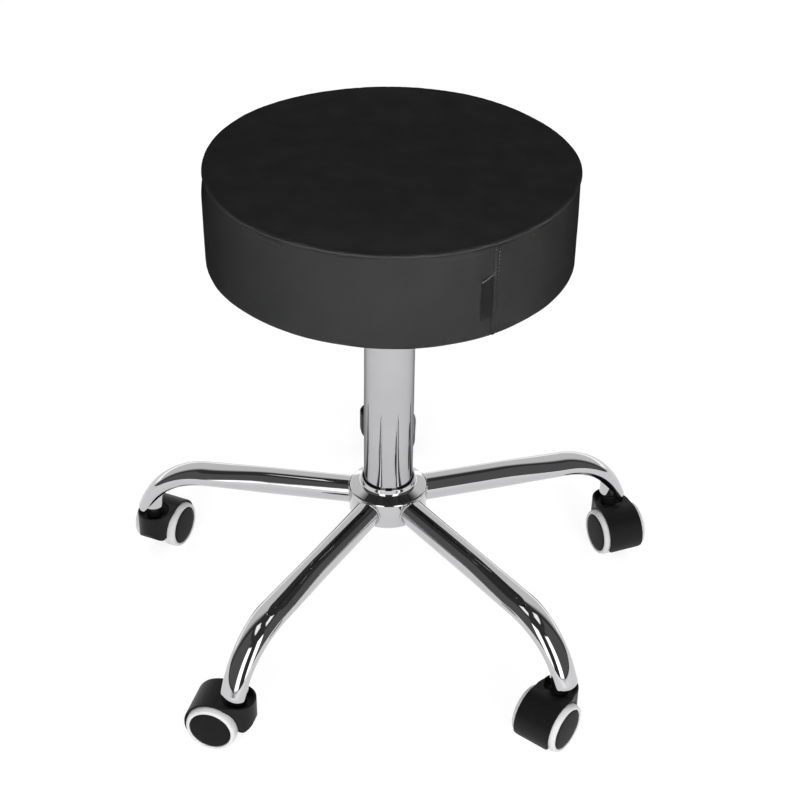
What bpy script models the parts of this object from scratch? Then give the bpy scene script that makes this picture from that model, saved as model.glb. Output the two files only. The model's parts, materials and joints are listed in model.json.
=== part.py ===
"""Adjustable swivel stool: a round padded seat on a gas spring and a five-armed base on twin-wheel casters.

Units are metres and +Z is up. The floor is at z = 0 and the origin is the middle of the footprint's box.
The column stands a little off that middle, because the casters point different ways. One arm lies along +Y.
Every sub-part is one object with its own material. Moving pieces hang from an empty on their joint's axis.
"""

import math

import bmesh
import bpy
from mathutils import Matrix, Vector

# Driving dimensions
GAP = 0.0003                 # left between two pieces that touch
RUNNING_GAP = 0.00025        # left round a shaft that turns or slides
COLUMN = Vector((-0.0070, -0.0125, 0.0))

SEAT_RADIUS = 0.1725
SEAT_TOP = 0.5075
SEAT_BOTTOM = 0.4144
COVER_THICKNESS = 0.0012
COVER_EDGE = 0.0025                 # rounds the cover's lower edge
BOARD_THICKNESS = 0.012
BOARD_RADIUS = 0.166
CLOTH_THICKNESS = 0.001
ROUND_SEAT_STEPS = 32

TUBE_RADIUS = 0.025
TUBE_BOTTOM = 0.104
TUBE_TOP = 0.352
CYLINDER_RADIUS = 0.014
CYLINDER_BOTTOM = 0.116
CYLINDER_TOP = 0.393
ROD_RADIUS = 0.005

HUB_RADIUS = 0.040
HUB_BOTTOM = 0.113
HUB_SHOULDER = 0.141
HUB_TOP = 0.152
COLLAR_RADIUS = 0.028

ARM_HEIGHT = 0.1264          # of the arm's centre line where it meets the hub
ARM_SLOPE = math.radians(4.4)
ARM_RADIUS = 0.014
ARM_WALL = 0.0018
STEM_CIRCLE = 0.2624
SLEEVE_RADIUS = 0.0108
SLEEVE_BOTTOM = 0.0595

WHEEL_RADIUS = 0.025
WHEEL_INNER = 0.0076         # from the caster's middle plane to the wheel's inner face
WHEEL_OUTER = 0.02515        # from the caster's middle plane to the hub cap's face
TRAIL = 0.0207               # from the stem's axis back to the axle
HOOD_RADIUS = 0.0278
HOOD_HALF_WIDTH = 0.0187
HOOD_TOP = 0.0525
NECK_RADIUS = 0.0178
STEM_RADIUS = 0.0055
STEM_FOOT = 0.0243
STEM_TOP = 0.070
STEM_COLLAR_RADIUS = 0.0078
STEM_COLLAR = 0.0022         # thickness of the collar between sleeve and hood
AXLE_RADIUS = 0.003
AXLE_HALF_LENGTH = 0.0235

PLATE_SIDE = 0.150
PLATE_THICKNESS = 0.003
BOLT_SPACING = 0.120
BOLT_RADIUS = 0.003
LEVER_RADIUS = 0.004
LEVER_PIVOT = Vector((0.024, 0.0, 0.4026))
PIN_RADIUS = 0.002

# Each caster's arm direction and the way its wheels trail, in degrees about the column
CASTERS = {
    "right": (18.0, 288.0),
    "back": (90.0, -6.0),
    "left": (162.0, 62.2),
    "front_left": (234.0, 161.5),
    "front_right": (306.0, 228.2),
}

# Colour, roughness and metallic value of each material
FINISHES = {
    "chrome": ((0.80, 0.80, 0.82), 0.08, 1.0),
    "column_paint": ((0.62, 0.62, 0.63), 0.30, 0.9),
    "bright_steel": ((0.70, 0.70, 0.71), 0.25, 1.0),
    "black_steel": ((0.03, 0.03, 0.03), 0.50, 0.6),
    "black_plastic": ((0.035, 0.034, 0.034), 0.45, 0.0),
    "grey_tread": ((0.74, 0.74, 0.75), 0.50, 0.0),
    "plywood": ((0.55, 0.40, 0.24), 0.70, 0.0),
    "foam": ((0.75, 0.70, 0.55), 0.90, 0.0),
    "black_leather": ((0.022, 0.022, 0.023), 0.42, 0.0),
    "dust_cloth": ((0.02, 0.02, 0.02), 0.95, 0.0),
}


# Scene, materials and objects

def clear_scene():
    for item in list(bpy.data.objects):
        bpy.data.objects.remove(item, do_unlink=True)


def new_collection(name):
    collection = bpy.data.collections.new(name)
    bpy.context.scene.collection.children.link(collection)
    return collection


def make_material(name):
    colour, roughness, metallic = FINISHES[name]
    material = bpy.data.materials.new(name)
    material.use_nodes = True
    shader = material.node_tree.nodes["Principled BSDF"]
    shader.inputs["Base Color"].default_value = (*colour, 1.0)
    shader.inputs["Roughness"].default_value = roughness
    shader.inputs["Metallic"].default_value = metallic
    return material


def empty(name, parent=None, location=(0, 0, 0), turn=0.0):
    """An axis for what hangs from it, turned about Z."""
    item = bpy.data.objects.new(name, None)
    item.empty_display_size = 0.02
    PARTS.objects.link(item)
    item.parent = parent
    item.location = location
    item.rotation_euler = (0, 0, turn)
    return item


def part(name, mesh, finish, parent, location=(0, 0, 0), rotation=(0, 0, 0)):
    """A named sub-part from a mesh, with the finish's own material."""
    item = bpy.data.objects.new(name, mesh)
    PARTS.objects.link(item)
    item.parent = parent
    item.location = location
    item.rotation_euler = rotation
    material = make_material(finish)
    material.name = name
    if not mesh.materials:
        mesh.materials.append(None)
    item.material_slots[0].link = "OBJECT"
    item.material_slots[0].material = material
    return item


# Shapes: each function returns a mesh, made by an object that is removed afterwards

def scratch(mesh):
    item = bpy.data.objects.new("scratch", mesh)
    CUTTERS.objects.link(item)
    item.hide_render = True
    item.display_type = "WIRE"
    return item


def finished(item):
    """The mesh of an object with its modifiers applied."""
    bpy.context.view_layer.update()
    evaluated = item.evaluated_get(bpy.context.evaluated_depsgraph_get())
    mesh = bpy.data.meshes.new_from_object(evaluated)
    bpy.data.objects.remove(item, do_unlink=True)
    return mesh


def smooth(mesh, angle=40):
    mesh.shade_smooth()
    mesh.set_sharp_from_angle(angle=math.radians(angle))
    return mesh


def turned(profile, steps=24, closed=True):
    """A profile of (radius, height) points, outer side running down, turned about Z."""
    points = [(radius, 0.0, height) for radius, height in profile]
    edges = [(i, i + 1) for i in range(len(points) - 1)]
    if closed:
        edges.append((len(points) - 1, 0))
    mesh = bpy.data.meshes.new("turned")
    mesh.from_pydata(points, edges, [])
    item = scratch(mesh)
    screw = item.modifiers.new("screw", "SCREW")
    screw.axis = "Z"
    screw.steps = steps
    screw.render_steps = steps
    screw.use_merge_vertices = True
    screw.merge_threshold = 0.00002
    screw.use_normal_calculate = False
    return smooth(finished(item))


def cylinder(radius, low, high, steps=24):
    return turned([(0, high), (radius, high), (radius, low), (0, low)], steps, closed=False)


def box(low, high, bevel=0.0, segments=2):
    """A box between two corners, with rounded edges where a bevel is given."""
    shape = bmesh.new()
    bmesh.ops.create_cube(shape, size=1.0)
    low = Vector(low)
    high = Vector(high)
    size = high - low
    bmesh.ops.scale(shape, vec=size, verts=shape.verts)
    bmesh.ops.translate(shape, vec=(low + high) / 2, verts=shape.verts)
    mesh = bpy.data.meshes.new("box")
    shape.to_mesh(mesh)
    shape.free()
    if not bevel:
        return mesh
    item = scratch(mesh)
    rounding = item.modifiers.new("bevel", "BEVEL")
    rounding.width = bevel
    rounding.segments = segments
    return smooth(finished(item))


def welded(item):
    """A curve object as a closed mesh."""
    mesh = finished(item)
    shape = bmesh.new()
    shape.from_mesh(mesh)
    bmesh.ops.remove_doubles(shape, verts=shape.verts, dist=0.00001)
    shape.to_mesh(mesh)
    shape.free()
    return mesh


def prism(outline, low, high):
    """A flat outline of (x, y) points, standing from one height to another."""
    curve = bpy.data.curves.new("outline", "CURVE")
    curve.dimensions = "2D"
    curve.fill_mode = "BOTH"
    curve.extrude = (high - low) / 2
    spline = curve.splines.new("POLY")
    spline.points.add(len(outline) - 1)
    for point, (x, y) in zip(spline.points, outline):
        point.co = (x, y, 0, 1)
    spline.use_cyclic_u = True
    mesh = welded(scratch(curve))
    mesh.transform(Matrix.Translation((0, 0, (high + low) / 2)))
    return mesh


def rod(points, radius, resolution=2):
    """A round bar through the points, with closed ends."""
    curve = bpy.data.curves.new("rod", "CURVE")
    curve.dimensions = "3D"
    curve.bevel_depth = radius
    curve.bevel_resolution = resolution
    curve.use_fill_caps = True
    spline = curve.splines.new("POLY")
    spline.points.add(len(points) - 1)
    for point, place in zip(spline.points, points):
        point.co = (*place, 1)
    return welded(scratch(curve))


def combined(mesh, *steps):
    """The mesh after Boolean steps, each an operation and the mesh it uses."""
    item = scratch(mesh)
    tools = []
    for operation, tool in steps:
        tools.append(scratch(tool))
        modifier = item.modifiers.new("boolean", "BOOLEAN")
        modifier.operation = operation
        modifier.solver = "EXACT"
        modifier.object = tools[-1]
    mesh = finished(item)
    for tool in tools:
        bpy.data.objects.remove(tool, do_unlink=True)
    return smooth(mesh)


def placed(mesh, matrix):
    mesh.transform(matrix)
    return mesh


def arc(centre, radius, start, end, count):
    """Points on a circle from one angle to another, in degrees."""
    points = []
    for i in range(count + 1):
        angle = math.radians(start + (end - start) * i / count)
        points.append((centre[0] + radius * math.cos(angle), centre[1] + radius * math.sin(angle)))
    return points


def around_y(height, x=0.0, y=0.0):
    """Lays a shape made along Z down along +Y, at a place, with its own X pointing up."""
    turn = Matrix(((0, 1, 0), (0, 0, 1), (1, 0, 0))).to_4x4()
    return Matrix.Translation((x, y, height)) @ turn


# Base

def make_hub():
    """A turned collar with a tapered bore, which the arms are welded to."""
    edge = 0.0015
    return turned([
        (TUBE_RADIUS + 0.0009, HUB_TOP),
        (COLLAR_RADIUS - edge / 2, HUB_TOP),
        (COLLAR_RADIUS, HUB_TOP - edge / 2),
        (COLLAR_RADIUS, HUB_SHOULDER + 0.0045),
        (HUB_RADIUS - edge, HUB_SHOULDER),
        (HUB_RADIUS, HUB_SHOULDER - edge),
        (HUB_RADIUS, HUB_BOTTOM + edge),
        (HUB_RADIUS - edge, HUB_BOTTOM),
        (taper_radius(HUB_BOTTOM) + GAP, HUB_BOTTOM),
        (taper_radius(HUB_TOP - 0.002) + GAP, HUB_TOP - 0.002),
    ], steps=24)


def taper_radius(height):
    """The gas spring's outer tube narrows where it sits in the hub."""
    drop = max(0.0, HUB_TOP - 0.002 - height)
    return TUBE_RADIUS - 0.02 * drop


def arm_stations():
    """Sections along the arm: their outer and inner points, as (distance, height), and half their width."""
    bend_start = 0.2000
    bend_radius = 0.079
    bend_end = math.radians(66)
    round_until = 0.125
    wide = 0.0158
    flat = 0.0116
    narrowing = 0.0024
    thinning = 0.0030
    stations = []

    def add(reach, height, slope, half_width, half_thickness):
        normal = Vector((math.sin(slope), math.cos(slope))) * half_thickness
        middle = Vector((reach, height))
        stations.append((middle + normal, middle - normal, half_width))

    for reach in (HUB_RADIUS - 0.006, round_until, bend_start):
        height = ARM_HEIGHT - (reach - HUB_RADIUS) * math.tan(ARM_SLOPE)
        share = max(0.0, (reach - round_until) / (bend_start - round_until))
        add(reach, height, ARM_SLOPE, ARM_RADIUS + (wide - ARM_RADIUS) * share,
            ARM_RADIUS + (flat - ARM_RADIUS) * share)
    for share in (0.15, 0.35, 0.55, 0.78, 1.0):
        slope = ARM_SLOPE + (bend_end - ARM_SLOPE) * share
        out = bend_start + bend_radius * (math.sin(slope) - math.sin(ARM_SLOPE))
        down = height - bend_radius * (math.cos(ARM_SLOPE) - math.cos(slope))
        add(out, down, slope, wide - narrowing * share, flat - thinning * share)
    run = 0.0087
    add(out + run * math.cos(bend_end), down - run * math.sin(bend_end), bend_end,
        wide - narrowing, flat - thinning)

    # The tip is rounded over, towards the sleeve
    nose = 0.006
    outer, inner, half_width = stations[-1]
    centre = outer - (outer - inner).normalized() * nose
    for angle in (-15, -55, -90):
        turn = math.radians(angle)
        edge = centre + nose * Vector((math.cos(turn), math.sin(turn)))
        stations.append((edge, inner, half_width * (0.55 + 0.45 * math.cos(turn))))
    return stations


def make_arm():
    """A bent tube that flattens towards the bend, cut open below its tip round a welded caster sleeve.

    The arm runs out along +X from the column's axis.
    """
    around = 10
    shape = bmesh.new()
    rings = []
    stations = arm_stations()
    for outer, inner, half_width in stations:
        middle = (outer + inner) / 2
        reach = (outer - inner) / 2
        ring = []
        for i in range(around):
            angle = 2 * math.pi * i / around
            place = middle + reach * math.sin(angle)
            ring.append(shape.verts.new((place.x, half_width * math.cos(angle), place.y)))
        rings.append(ring)
    for ring, following in zip(rings, rings[1:]):
        for i in range(around):
            j = (i + 1) % around
            shape.faces.new((ring[i], ring[j], following[j], following[i]))
    bmesh.ops.recalc_face_normals(shape, faces=shape.faces)
    mesh = bpy.data.meshes.new("arm")
    shape.to_mesh(mesh)
    shape.free()
    item = scratch(mesh)
    wall = item.modifiers.new("wall", "SOLIDIFY")
    wall.thickness = ARM_WALL
    wall.offset = -1
    mesh = finished(item)
    hub_steps = 24
    hub_cut_radius = (HUB_RADIUS + GAP) / math.cos(math.pi / hub_steps)
    hub_cut = cylinder(hub_cut_radius, 0.09, 0.16, hub_steps)
    sleeve_high = 0.095
    round_edge = 0.003
    sleeve = turned([
        (0, sleeve_high),
        (SLEEVE_RADIUS, sleeve_high),
        (SLEEVE_RADIUS, SLEEVE_BOTTOM + round_edge),
        (SLEEVE_RADIUS - round_edge, SLEEVE_BOTTOM),
        (0, SLEEVE_BOTTOM),
    ], steps=16, closed=False)
    slant = Matrix.Rotation(math.radians(48), 4, "Y")
    sleeve_top = Vector((SLEEVE_RADIUS, 0, 0.0685))
    above = box((-0.06, -0.03, 0.0), (0.03, 0.03, 0.05))
    sleeve = combined(sleeve, ("DIFFERENCE", placed(above, Matrix.Translation(sleeve_top) @ slant)))
    bore = cylinder(STEM_RADIUS + GAP, SLEEVE_BOTTOM - 0.01, STEM_TOP + 0.001, 12)
    to_stem = Matrix.Translation((STEM_CIRCLE, 0, 0))
    tip = Vector((stations[-1][0].x + 0.0005, 0, stations[-1][0].y))
    underside = box((-0.06, -0.03, -0.05), (0.02, 0.03, 0.0))
    return combined(
        mesh,
        ("DIFFERENCE", hub_cut),
        ("DIFFERENCE", placed(underside, Matrix.Translation(tip) @ slant)),
        ("UNION", placed(sleeve, to_stem)),
        ("DIFFERENCE", placed(bore, to_stem)),
    )


def make_base(stand):
    part("hub", make_hub(), "chrome", stand)
    arm = make_arm()
    for name, (azimuth, _) in CASTERS.items():
        part("arm_" + name, arm, "chrome", stand, rotation=(0, 0, math.radians(azimuth)))


# Gas spring

def make_gas_spring_tube():
    """The outer tube: a tapered foot, a floor with a hole for the rod, and an open top."""
    wall = 0.002
    floor = TUBE_BOTTOM + 0.003
    foot = taper_radius(TUBE_BOTTOM)
    shoulder = HUB_TOP - 0.002
    return turned([
        (TUBE_RADIUS - 0.0006, TUBE_TOP),
        (TUBE_RADIUS, TUBE_TOP - 0.0006),
        (TUBE_RADIUS, shoulder),
        (foot, TUBE_BOTTOM + 0.001),
        (foot - 0.001, TUBE_BOTTOM),
        (ROD_RADIUS, TUBE_BOTTOM),
        (ROD_RADIUS, floor),
        (foot - wall, floor),
        (TUBE_RADIUS - wall, shoulder),
        (TUBE_RADIUS - wall, TUBE_TOP),
    ], steps=20)


def make_guide_bush():
    """The plastic sleeve in the top of the outer tube, which the inner cylinder slides and turns in."""
    length = 0.060
    inner = CYLINDER_RADIUS + RUNNING_GAP
    outer = TUBE_RADIUS - 0.002 - GAP
    flange = TUBE_TOP + GAP
    return turned([
        (inner + 0.0008, flange + 0.002),
        (TUBE_RADIUS - 0.001, flange + 0.002),
        (TUBE_RADIUS - 0.0004, flange + 0.0014),
        (TUBE_RADIUS - 0.0004, flange),
        (outer, flange),
        (outer, TUBE_TOP - length),
        (inner, TUBE_TOP - length),
        (inner, flange + 0.0012),
    ], steps=20)


def make_thrust_bearing():
    """The washer on the tube's floor that carries the rod and lets it turn."""
    floor = TUBE_BOTTOM + 0.003 + GAP
    inner = 0.0043
    outer = 0.014
    return turned([
        (outer - 0.0005, floor + 0.006),
        (outer, floor + 0.0055),
        (outer, floor + 0.0005),
        (outer - 0.0005, floor),
        (inner, floor),
        (inner, floor + 0.006),
    ], steps=14)


def make_piston_rod():
    """The rod stands on the bearing; its neck passes the tube's floor and its piston stays in the cylinder."""
    neck = 0.004
    groove = 0.0032
    foot = TUBE_BOTTOM - 0.007
    shoulder = TUBE_BOTTOM + 0.003 + GAP + 0.006 + GAP
    piston = 0.0116
    piston_top = 0.361
    piston_bottom = piston_top - 0.012
    return turned([
        (0, piston_top),
        (piston - 0.001, piston_top),
        (piston, piston_top - 0.001),
        (piston, piston_bottom),
        (ROD_RADIUS, piston_bottom),
        (ROD_RADIUS, shoulder),
        (neck, shoulder),
        (neck, TUBE_BOTTOM - 0.0022),
        (groove, TUBE_BOTTOM - 0.0022),
        (groove, TUBE_BOTTOM - 0.0043),
        (neck, TUBE_BOTTOM - 0.0043),
        (neck, foot),
        (0, foot),
    ], steps=12, closed=False)


def make_retaining_clip():
    """The ring in the rod's groove, under the tube."""
    top = TUBE_BOTTOM - 0.0022 - GAP
    return turned([
        (0.0075, top),
        (0.0075, top - 0.0015),
        (0.0035, top - 0.0015),
        (0.0035, top),
    ], steps=12)


def make_gas_cylinder():
    """The pressure cylinder: a gland at the bottom, and a tapered top with a hole for the release button."""
    bore = 0.0122
    gland = ROD_RADIUS + RUNNING_GAP
    cap = CYLINDER_TOP - 0.009
    pin = 0.0033
    return turned([
        (CYLINDER_RADIUS - 0.0017, CYLINDER_TOP),
        (CYLINDER_RADIUS - 0.0009, CYLINDER_TOP - 0.0008),
        (CYLINDER_RADIUS, CYLINDER_TOP - 0.036),
        (CYLINDER_RADIUS, CYLINDER_BOTTOM + 0.001),
        (CYLINDER_RADIUS - 0.001, CYLINDER_BOTTOM),
        (gland, CYLINDER_BOTTOM),
        (gland, CYLINDER_BOTTOM + 0.018),
        (bore, CYLINDER_BOTTOM + 0.020),
        (bore, cap),
        (pin, cap),
        (pin, CYLINDER_TOP),
    ], steps=16)


def make_release_button():
    """The valve pin in the top of the cylinder, which the lever presses."""
    radius = 0.003
    low = CYLINDER_TOP - 0.011
    high = LEVER_PIVOT.z - LEVER_RADIUS - GAP
    return turned([
        (0, high),
        (radius - 0.0004, high),
        (radius, high - 0.0004),
        (radius, low),
        (0, low),
    ], steps=16, closed=False)


# Seat mechanism

def make_seat_plate():
    """A square steel plate with a pressed box below it that holds the tapered socket and the lever."""
    top = SEAT_BOTTOM - CLOTH_THICKNESS - 2 * GAP
    bottom = top - PLATE_THICKNESS
    half = PLATE_SIDE / 2
    box_half_x = 0.036
    box_half_y = 0.023
    box_bottom = bottom - 0.029
    wall = 0.0025
    inner_x = box_half_x - wall
    inner_y = box_half_y - wall
    corner = 0.018
    outline = []
    for turn, (sx, sy) in enumerate(((1, 1), (-1, 1), (-1, -1), (1, -1))):
        centre = (sx * (half - corner), sy * (half - corner))
        outline += arc(centre, corner, 90 * turn, 90 * turn + 90, 4)
    plate = prism(outline, bottom, top)
    pressed = box((-box_half_x, -box_half_y, box_bottom), (box_half_x, box_half_y, bottom + 0.001), 0.004)
    socket_low = CYLINDER_TOP - 0.031
    socket_high = CYLINDER_TOP - 0.003
    socket = cylinder(0.0185, socket_low, socket_high, 20)
    bore_low = CYLINDER_TOP - 0.036
    bore = turned([
        (0, CYLINDER_TOP + 0.002),
        (CYLINDER_RADIUS - 0.00095 + GAP, CYLINDER_TOP + 0.002),
        (CYLINDER_RADIUS + GAP, bore_low),
        (0, bore_low),
    ], steps=20, closed=False)
    hollow = box((-inner_x, -inner_y, box_bottom + wall), (inner_x, inner_y, bottom - 0.0005))
    notch = box((0.02, -0.0065, LEVER_PIVOT.z - 0.008), (0.05, 0.0065, bottom - 0.0005))
    pin_hole = placed(cylinder(PIN_RADIUS + GAP, -0.04, 0.04, 12),
                      around_y(LEVER_PIVOT.z, LEVER_PIVOT.x))
    steps = [
        ("UNION", pressed),
        ("DIFFERENCE", hollow),
        ("UNION", socket),
        ("DIFFERENCE", bore),
        ("DIFFERENCE", notch),
        ("DIFFERENCE", pin_hole),
    ]
    for x, y in bolt_places():
        hole = cylinder(BOLT_RADIUS + GAP, bottom - 0.01, top + 0.01, 12)
        steps.append(("DIFFERENCE", placed(hole, Matrix.Translation((x, y, 0)))))
    return combined(plate, *steps)


def bolt_places():
    half = BOLT_SPACING / 2
    return [(half, half), (-half, half), (-half, -half), (half, -half)]


def make_seat_bolt():
    """A flanged bolt, its head below the plate."""
    plate_bottom = SEAT_BOTTOM - CLOTH_THICKNESS - 2 * GAP - PLATE_THICKNESS
    head = cylinder(0.005, plate_bottom - 0.0052, plate_bottom - 0.0014, 6)
    shank_top = SEAT_BOTTOM + BOARD_THICKNESS - 0.002
    flange = turned([
        (0, shank_top),
        (BOLT_RADIUS, shank_top),
        (BOLT_RADIUS, plate_bottom - GAP),
        (0.0068, plate_bottom - GAP),
        (0.0068, plate_bottom - 0.0015),
        (0, plate_bottom - 0.0015),
    ], steps=12, closed=False)
    return combined(flange, ("UNION", head))


def make_pivot_pin():
    """The pin across the pressed box, with a head at one end."""
    half = 0.0255
    return turned([
        (0, half + 0.0015),
        (0.0034, half + 0.0015),
        (0.0034, half - 0.0020),
        (PIN_RADIUS, half - 0.0020),
        (PIN_RADIUS, -half),
        (0, -half),
    ], steps=12, closed=False)


def lever_line():
    """The lever's bends, from the pivot out to the tip of the grip."""
    return [
        Vector((0.020, 0, LEVER_PIVOT.z)),
        Vector((0.050, 0, LEVER_PIVOT.z)),
        Vector((0.060, 0, LEVER_PIVOT.z - 0.0015)),
        Vector((0.086, 0, 0.3905)),
        Vector((0.095, 0, 0.3890)),
        Vector((0.150, 0, 0.3870)),
    ]


def make_lever_rod():
    """A bent rod with a flattened end that reaches over the release button."""
    bar = rod(lever_line(), LEVER_RADIUS)
    inner = box((-0.005, -0.005, LEVER_PIVOT.z - LEVER_RADIUS), (0.032, 0.005, LEVER_PIVOT.z + LEVER_RADIUS),
                0.0012, 1)
    hole = placed(cylinder(PIN_RADIUS + RUNNING_GAP, -0.02, 0.02, 12),
                  around_y(LEVER_PIVOT.z, LEVER_PIVOT.x))
    mesh = combined(bar, ("UNION", inner), ("DIFFERENCE", hole))
    return placed(mesh, Matrix.Translation(-LEVER_PIVOT))


def make_lever_grip():
    """A flat plastic paddle pushed over the end of the rod."""
    start, end = lever_line()[-2:]
    along = (end - start).normalized()
    slope = math.atan2(along.z, along.x)
    length = (end - start).length
    paddle = box((0, -0.012, -0.0062), (length + 0.004, 0.012, 0.0062), 0.0055, 3)
    socket = placed(cylinder(LEVER_RADIUS + GAP, -0.01, length + 0.0005, 12),
                    Matrix.Rotation(math.pi / 2, 4, "Y"))
    mesh = combined(paddle, ("DIFFERENCE", socket))
    place = Matrix.Translation(start - LEVER_PIVOT) @ Matrix.Rotation(-slope, 4, "Y")
    return placed(mesh, place)


# Seat

def cushion_profile(inset):
    """The cushion's outside from the middle of its top down to its lower edge, drawn in by the inset."""
    rim = SEAT_RADIUS - inset
    top = SEAT_TOP - inset
    edge = 0.006
    seam = 0.0045
    points = [(0, top), (0.090, top), (0.150, top - 0.0012), (rim - edge, top - seam + 0.0008)]
    points += arc((rim - edge, top - seam - edge + 0.0008), edge, 60, 0, 2)
    return points


def make_seat_cover():
    """The sewn cover: over the top, down the side and turned under the board."""
    wrap = 0.030
    low = SEAT_BOTTOM
    inner_edge = COVER_EDGE + GAP
    outer = cushion_profile(0.0) + [
        (SEAT_RADIUS, low + COVER_EDGE),
        (SEAT_RADIUS - COVER_EDGE, low),
        (SEAT_RADIUS - wrap, low),
    ]
    inner = [
        (SEAT_RADIUS - wrap, low + COVER_THICKNESS),
        (SEAT_RADIUS - inner_edge, low + COVER_THICKNESS),
        (SEAT_RADIUS - COVER_THICKNESS, low + inner_edge),
    ]
    inner += reversed(cushion_profile(COVER_THICKNESS))
    return turned(outer + inner, steps=ROUND_SEAT_STEPS, closed=False)


def make_foam_pad():
    """The filling, which wraps down round the board's edge."""
    low = board_bottom() + BOARD_THICKNESS + GAP
    wrap = BOARD_RADIUS + GAP
    points = cushion_profile(COVER_THICKNESS + GAP)
    rim = SEAT_RADIUS - COVER_THICKNESS - GAP
    points += [(rim, board_bottom() + COVER_EDGE), (rim - COVER_EDGE, board_bottom())]
    points += [(wrap, board_bottom()), (wrap, low), (0, low)]
    return turned(points, steps=ROUND_SEAT_STEPS, closed=False)


def board_bottom():
    return SEAT_BOTTOM + COVER_THICKNESS + GAP


def make_seat_board():
    """A plywood disc with four bolt holes."""
    low = board_bottom()
    high = low + BOARD_THICKNESS
    edge = 0.0015
    disc = turned([
        (0, high),
        (BOARD_RADIUS, high),
        (BOARD_RADIUS, low + edge),
        (BOARD_RADIUS - edge, low),
        (0, low),
    ], steps=ROUND_SEAT_STEPS, closed=False)
    return combined(disc, *bolt_holes(low - 0.01, high + 0.01))


def make_dust_cloth():
    """The thin cloth over the underside of the board."""
    high = SEAT_BOTTOM - GAP
    low = high - CLOTH_THICKNESS
    return combined(cylinder(SEAT_RADIUS - 0.006, low, high, ROUND_SEAT_STEPS), *bolt_holes(low - 0.01, high + 0.01))


def bolt_holes(low, high):
    steps = []
    for x, y in bolt_places():
        hole = cylinder(BOLT_RADIUS + GAP, low, high, 12)
        steps.append(("DIFFERENCE", placed(hole, Matrix.Translation((x, y, 0)))))
    return steps


def make_seat(stand):
    swivel = empty("seat_swivel_axis", stand)
    part("piston_rod", make_piston_rod(), "bright_steel", swivel)
    part("retaining_clip", make_retaining_clip(), "black_steel", swivel)
    lift = empty("seat_lift_axis", swivel)
    part("gas_cylinder", make_gas_cylinder(), "chrome", lift)
    part("seat_plate", make_seat_plate(), "black_steel", lift)
    part("seat_board", make_seat_board(), "plywood", lift)
    part("foam_pad", make_foam_pad(), "foam", lift)
    part("seat_cover", make_seat_cover(), "black_leather", lift)
    part("dust_cloth", make_dust_cloth(), "dust_cloth", lift)
    bolt = make_seat_bolt()
    for index, (x, y) in enumerate(bolt_places(), 1):
        part("seat_bolt_%d" % index, bolt, "bright_steel", lift, location=(x, y, 0))
    pivot = empty("lever_pivot_axis", lift, LEVER_PIVOT)
    pin = placed(make_pivot_pin(), around_y(0))
    part("lever_pivot_pin", pin, "bright_steel", pivot)
    part("lever_rod", make_lever_rod(), "bright_steel", pivot)
    part("lever_grip", make_lever_grip(), "black_plastic", pivot)
    part("release_button", make_release_button(), "black_steel", lift)


# Casters: each is made with its stem's axis on Z and its wheels trailing along +X

def make_stem():
    """The steel stem: its top goes up in the arm's sleeve and its foot stands in the hood."""
    collar_top = SLEEVE_BOTTOM - GAP
    return turned([
        (0, STEM_TOP),
        (STEM_RADIUS - 0.001, STEM_TOP),
        (STEM_RADIUS, STEM_TOP - 0.001),
        (STEM_RADIUS, collar_top),
        (STEM_COLLAR_RADIUS, collar_top),
        (STEM_COLLAR_RADIUS, collar_top - STEM_COLLAR),
        (STEM_RADIUS, collar_top - STEM_COLLAR),
        (STEM_RADIUS, STEM_FOOT + 0.001),
        (STEM_RADIUS - 0.001, STEM_FOOT),
        (0, STEM_FOOT),
    ], steps=10, closed=False)


def hood_outline():
    """The hood seen from the side, as (distance behind the stem, height) points."""
    axle = (TRAIL, WHEEL_RADIUS)
    tail_low = 0.0130
    front_low = 0.0205
    corner = 0.009
    tail = math.degrees(math.asin((tail_low - WHEEL_RADIUS) / HOOD_RADIUS))
    brow = 180 - math.degrees(math.asin((HOOD_TOP - WHEEL_RADIUS) / HOOD_RADIUS))
    outline = arc(axle, HOOD_RADIUS, tail, brow, 10)
    outline += [(-NECK_RADIUS, HOOD_TOP)]
    outline += arc((corner - NECK_RADIUS, front_low + corner), corner, 180, 270, 3)
    outline += [(0.0, front_low - 0.001), (0.008, 0.017), (TRAIL + 0.014, 0.017), (TRAIL + 0.018, tail_low)]
    return outline


def make_hood():
    """One moulding: a web between the wheels, a fender over them and a round neck for the stem."""
    web = 0.0072
    reach = 0.05
    well_radius = WHEEL_RADIUS + 0.0008
    roof_radius = well_radius + 0.0012
    recess_radius = 0.0158
    recess_floor = 0.0455
    boss_top = SLEEVE_BOTTOM - GAP - STEM_COLLAR - GAP
    side = prism(hood_outline(), -reach, reach)
    side.transform(Matrix.Rotation(math.pi / 2, 4, "X"))
    plan = arc((0, 0), NECK_RADIUS, 90, 270, 8)
    plan += [(0.008, -HOOD_HALF_WIDTH), (0.06, -HOOD_HALF_WIDTH), (0.06, HOOD_HALF_WIDTH), (0.008, HOOD_HALF_WIDTH)]
    at_axle = around_y(WHEEL_RADIUS, TRAIL)
    recess = combined(
        cylinder(recess_radius, recess_floor, 0.07, 16),
        ("DIFFERENCE", placed(cylinder(roof_radius, -reach, reach, 20), at_axle)),
    )
    return combined(
        side,
        ("INTERSECT", prism(plan, -0.01, 0.09)),
        ("DIFFERENCE", recess),
        ("UNION", cylinder(STEM_COLLAR_RADIUS, recess_floor - 0.002, boss_top, 12)),
        ("DIFFERENCE", placed(cylinder(well_radius, web, reach, 20), at_axle)),
        ("DIFFERENCE", placed(cylinder(well_radius, -reach, -web, 20), at_axle)),
        ("DIFFERENCE", cylinder(STEM_RADIUS + RUNNING_GAP, STEM_FOOT - GAP, 0.07, 14)),
        ("DIFFERENCE", placed(cylinder(AXLE_RADIUS + GAP, -reach, reach, 12), at_axle)),
    )


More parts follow.
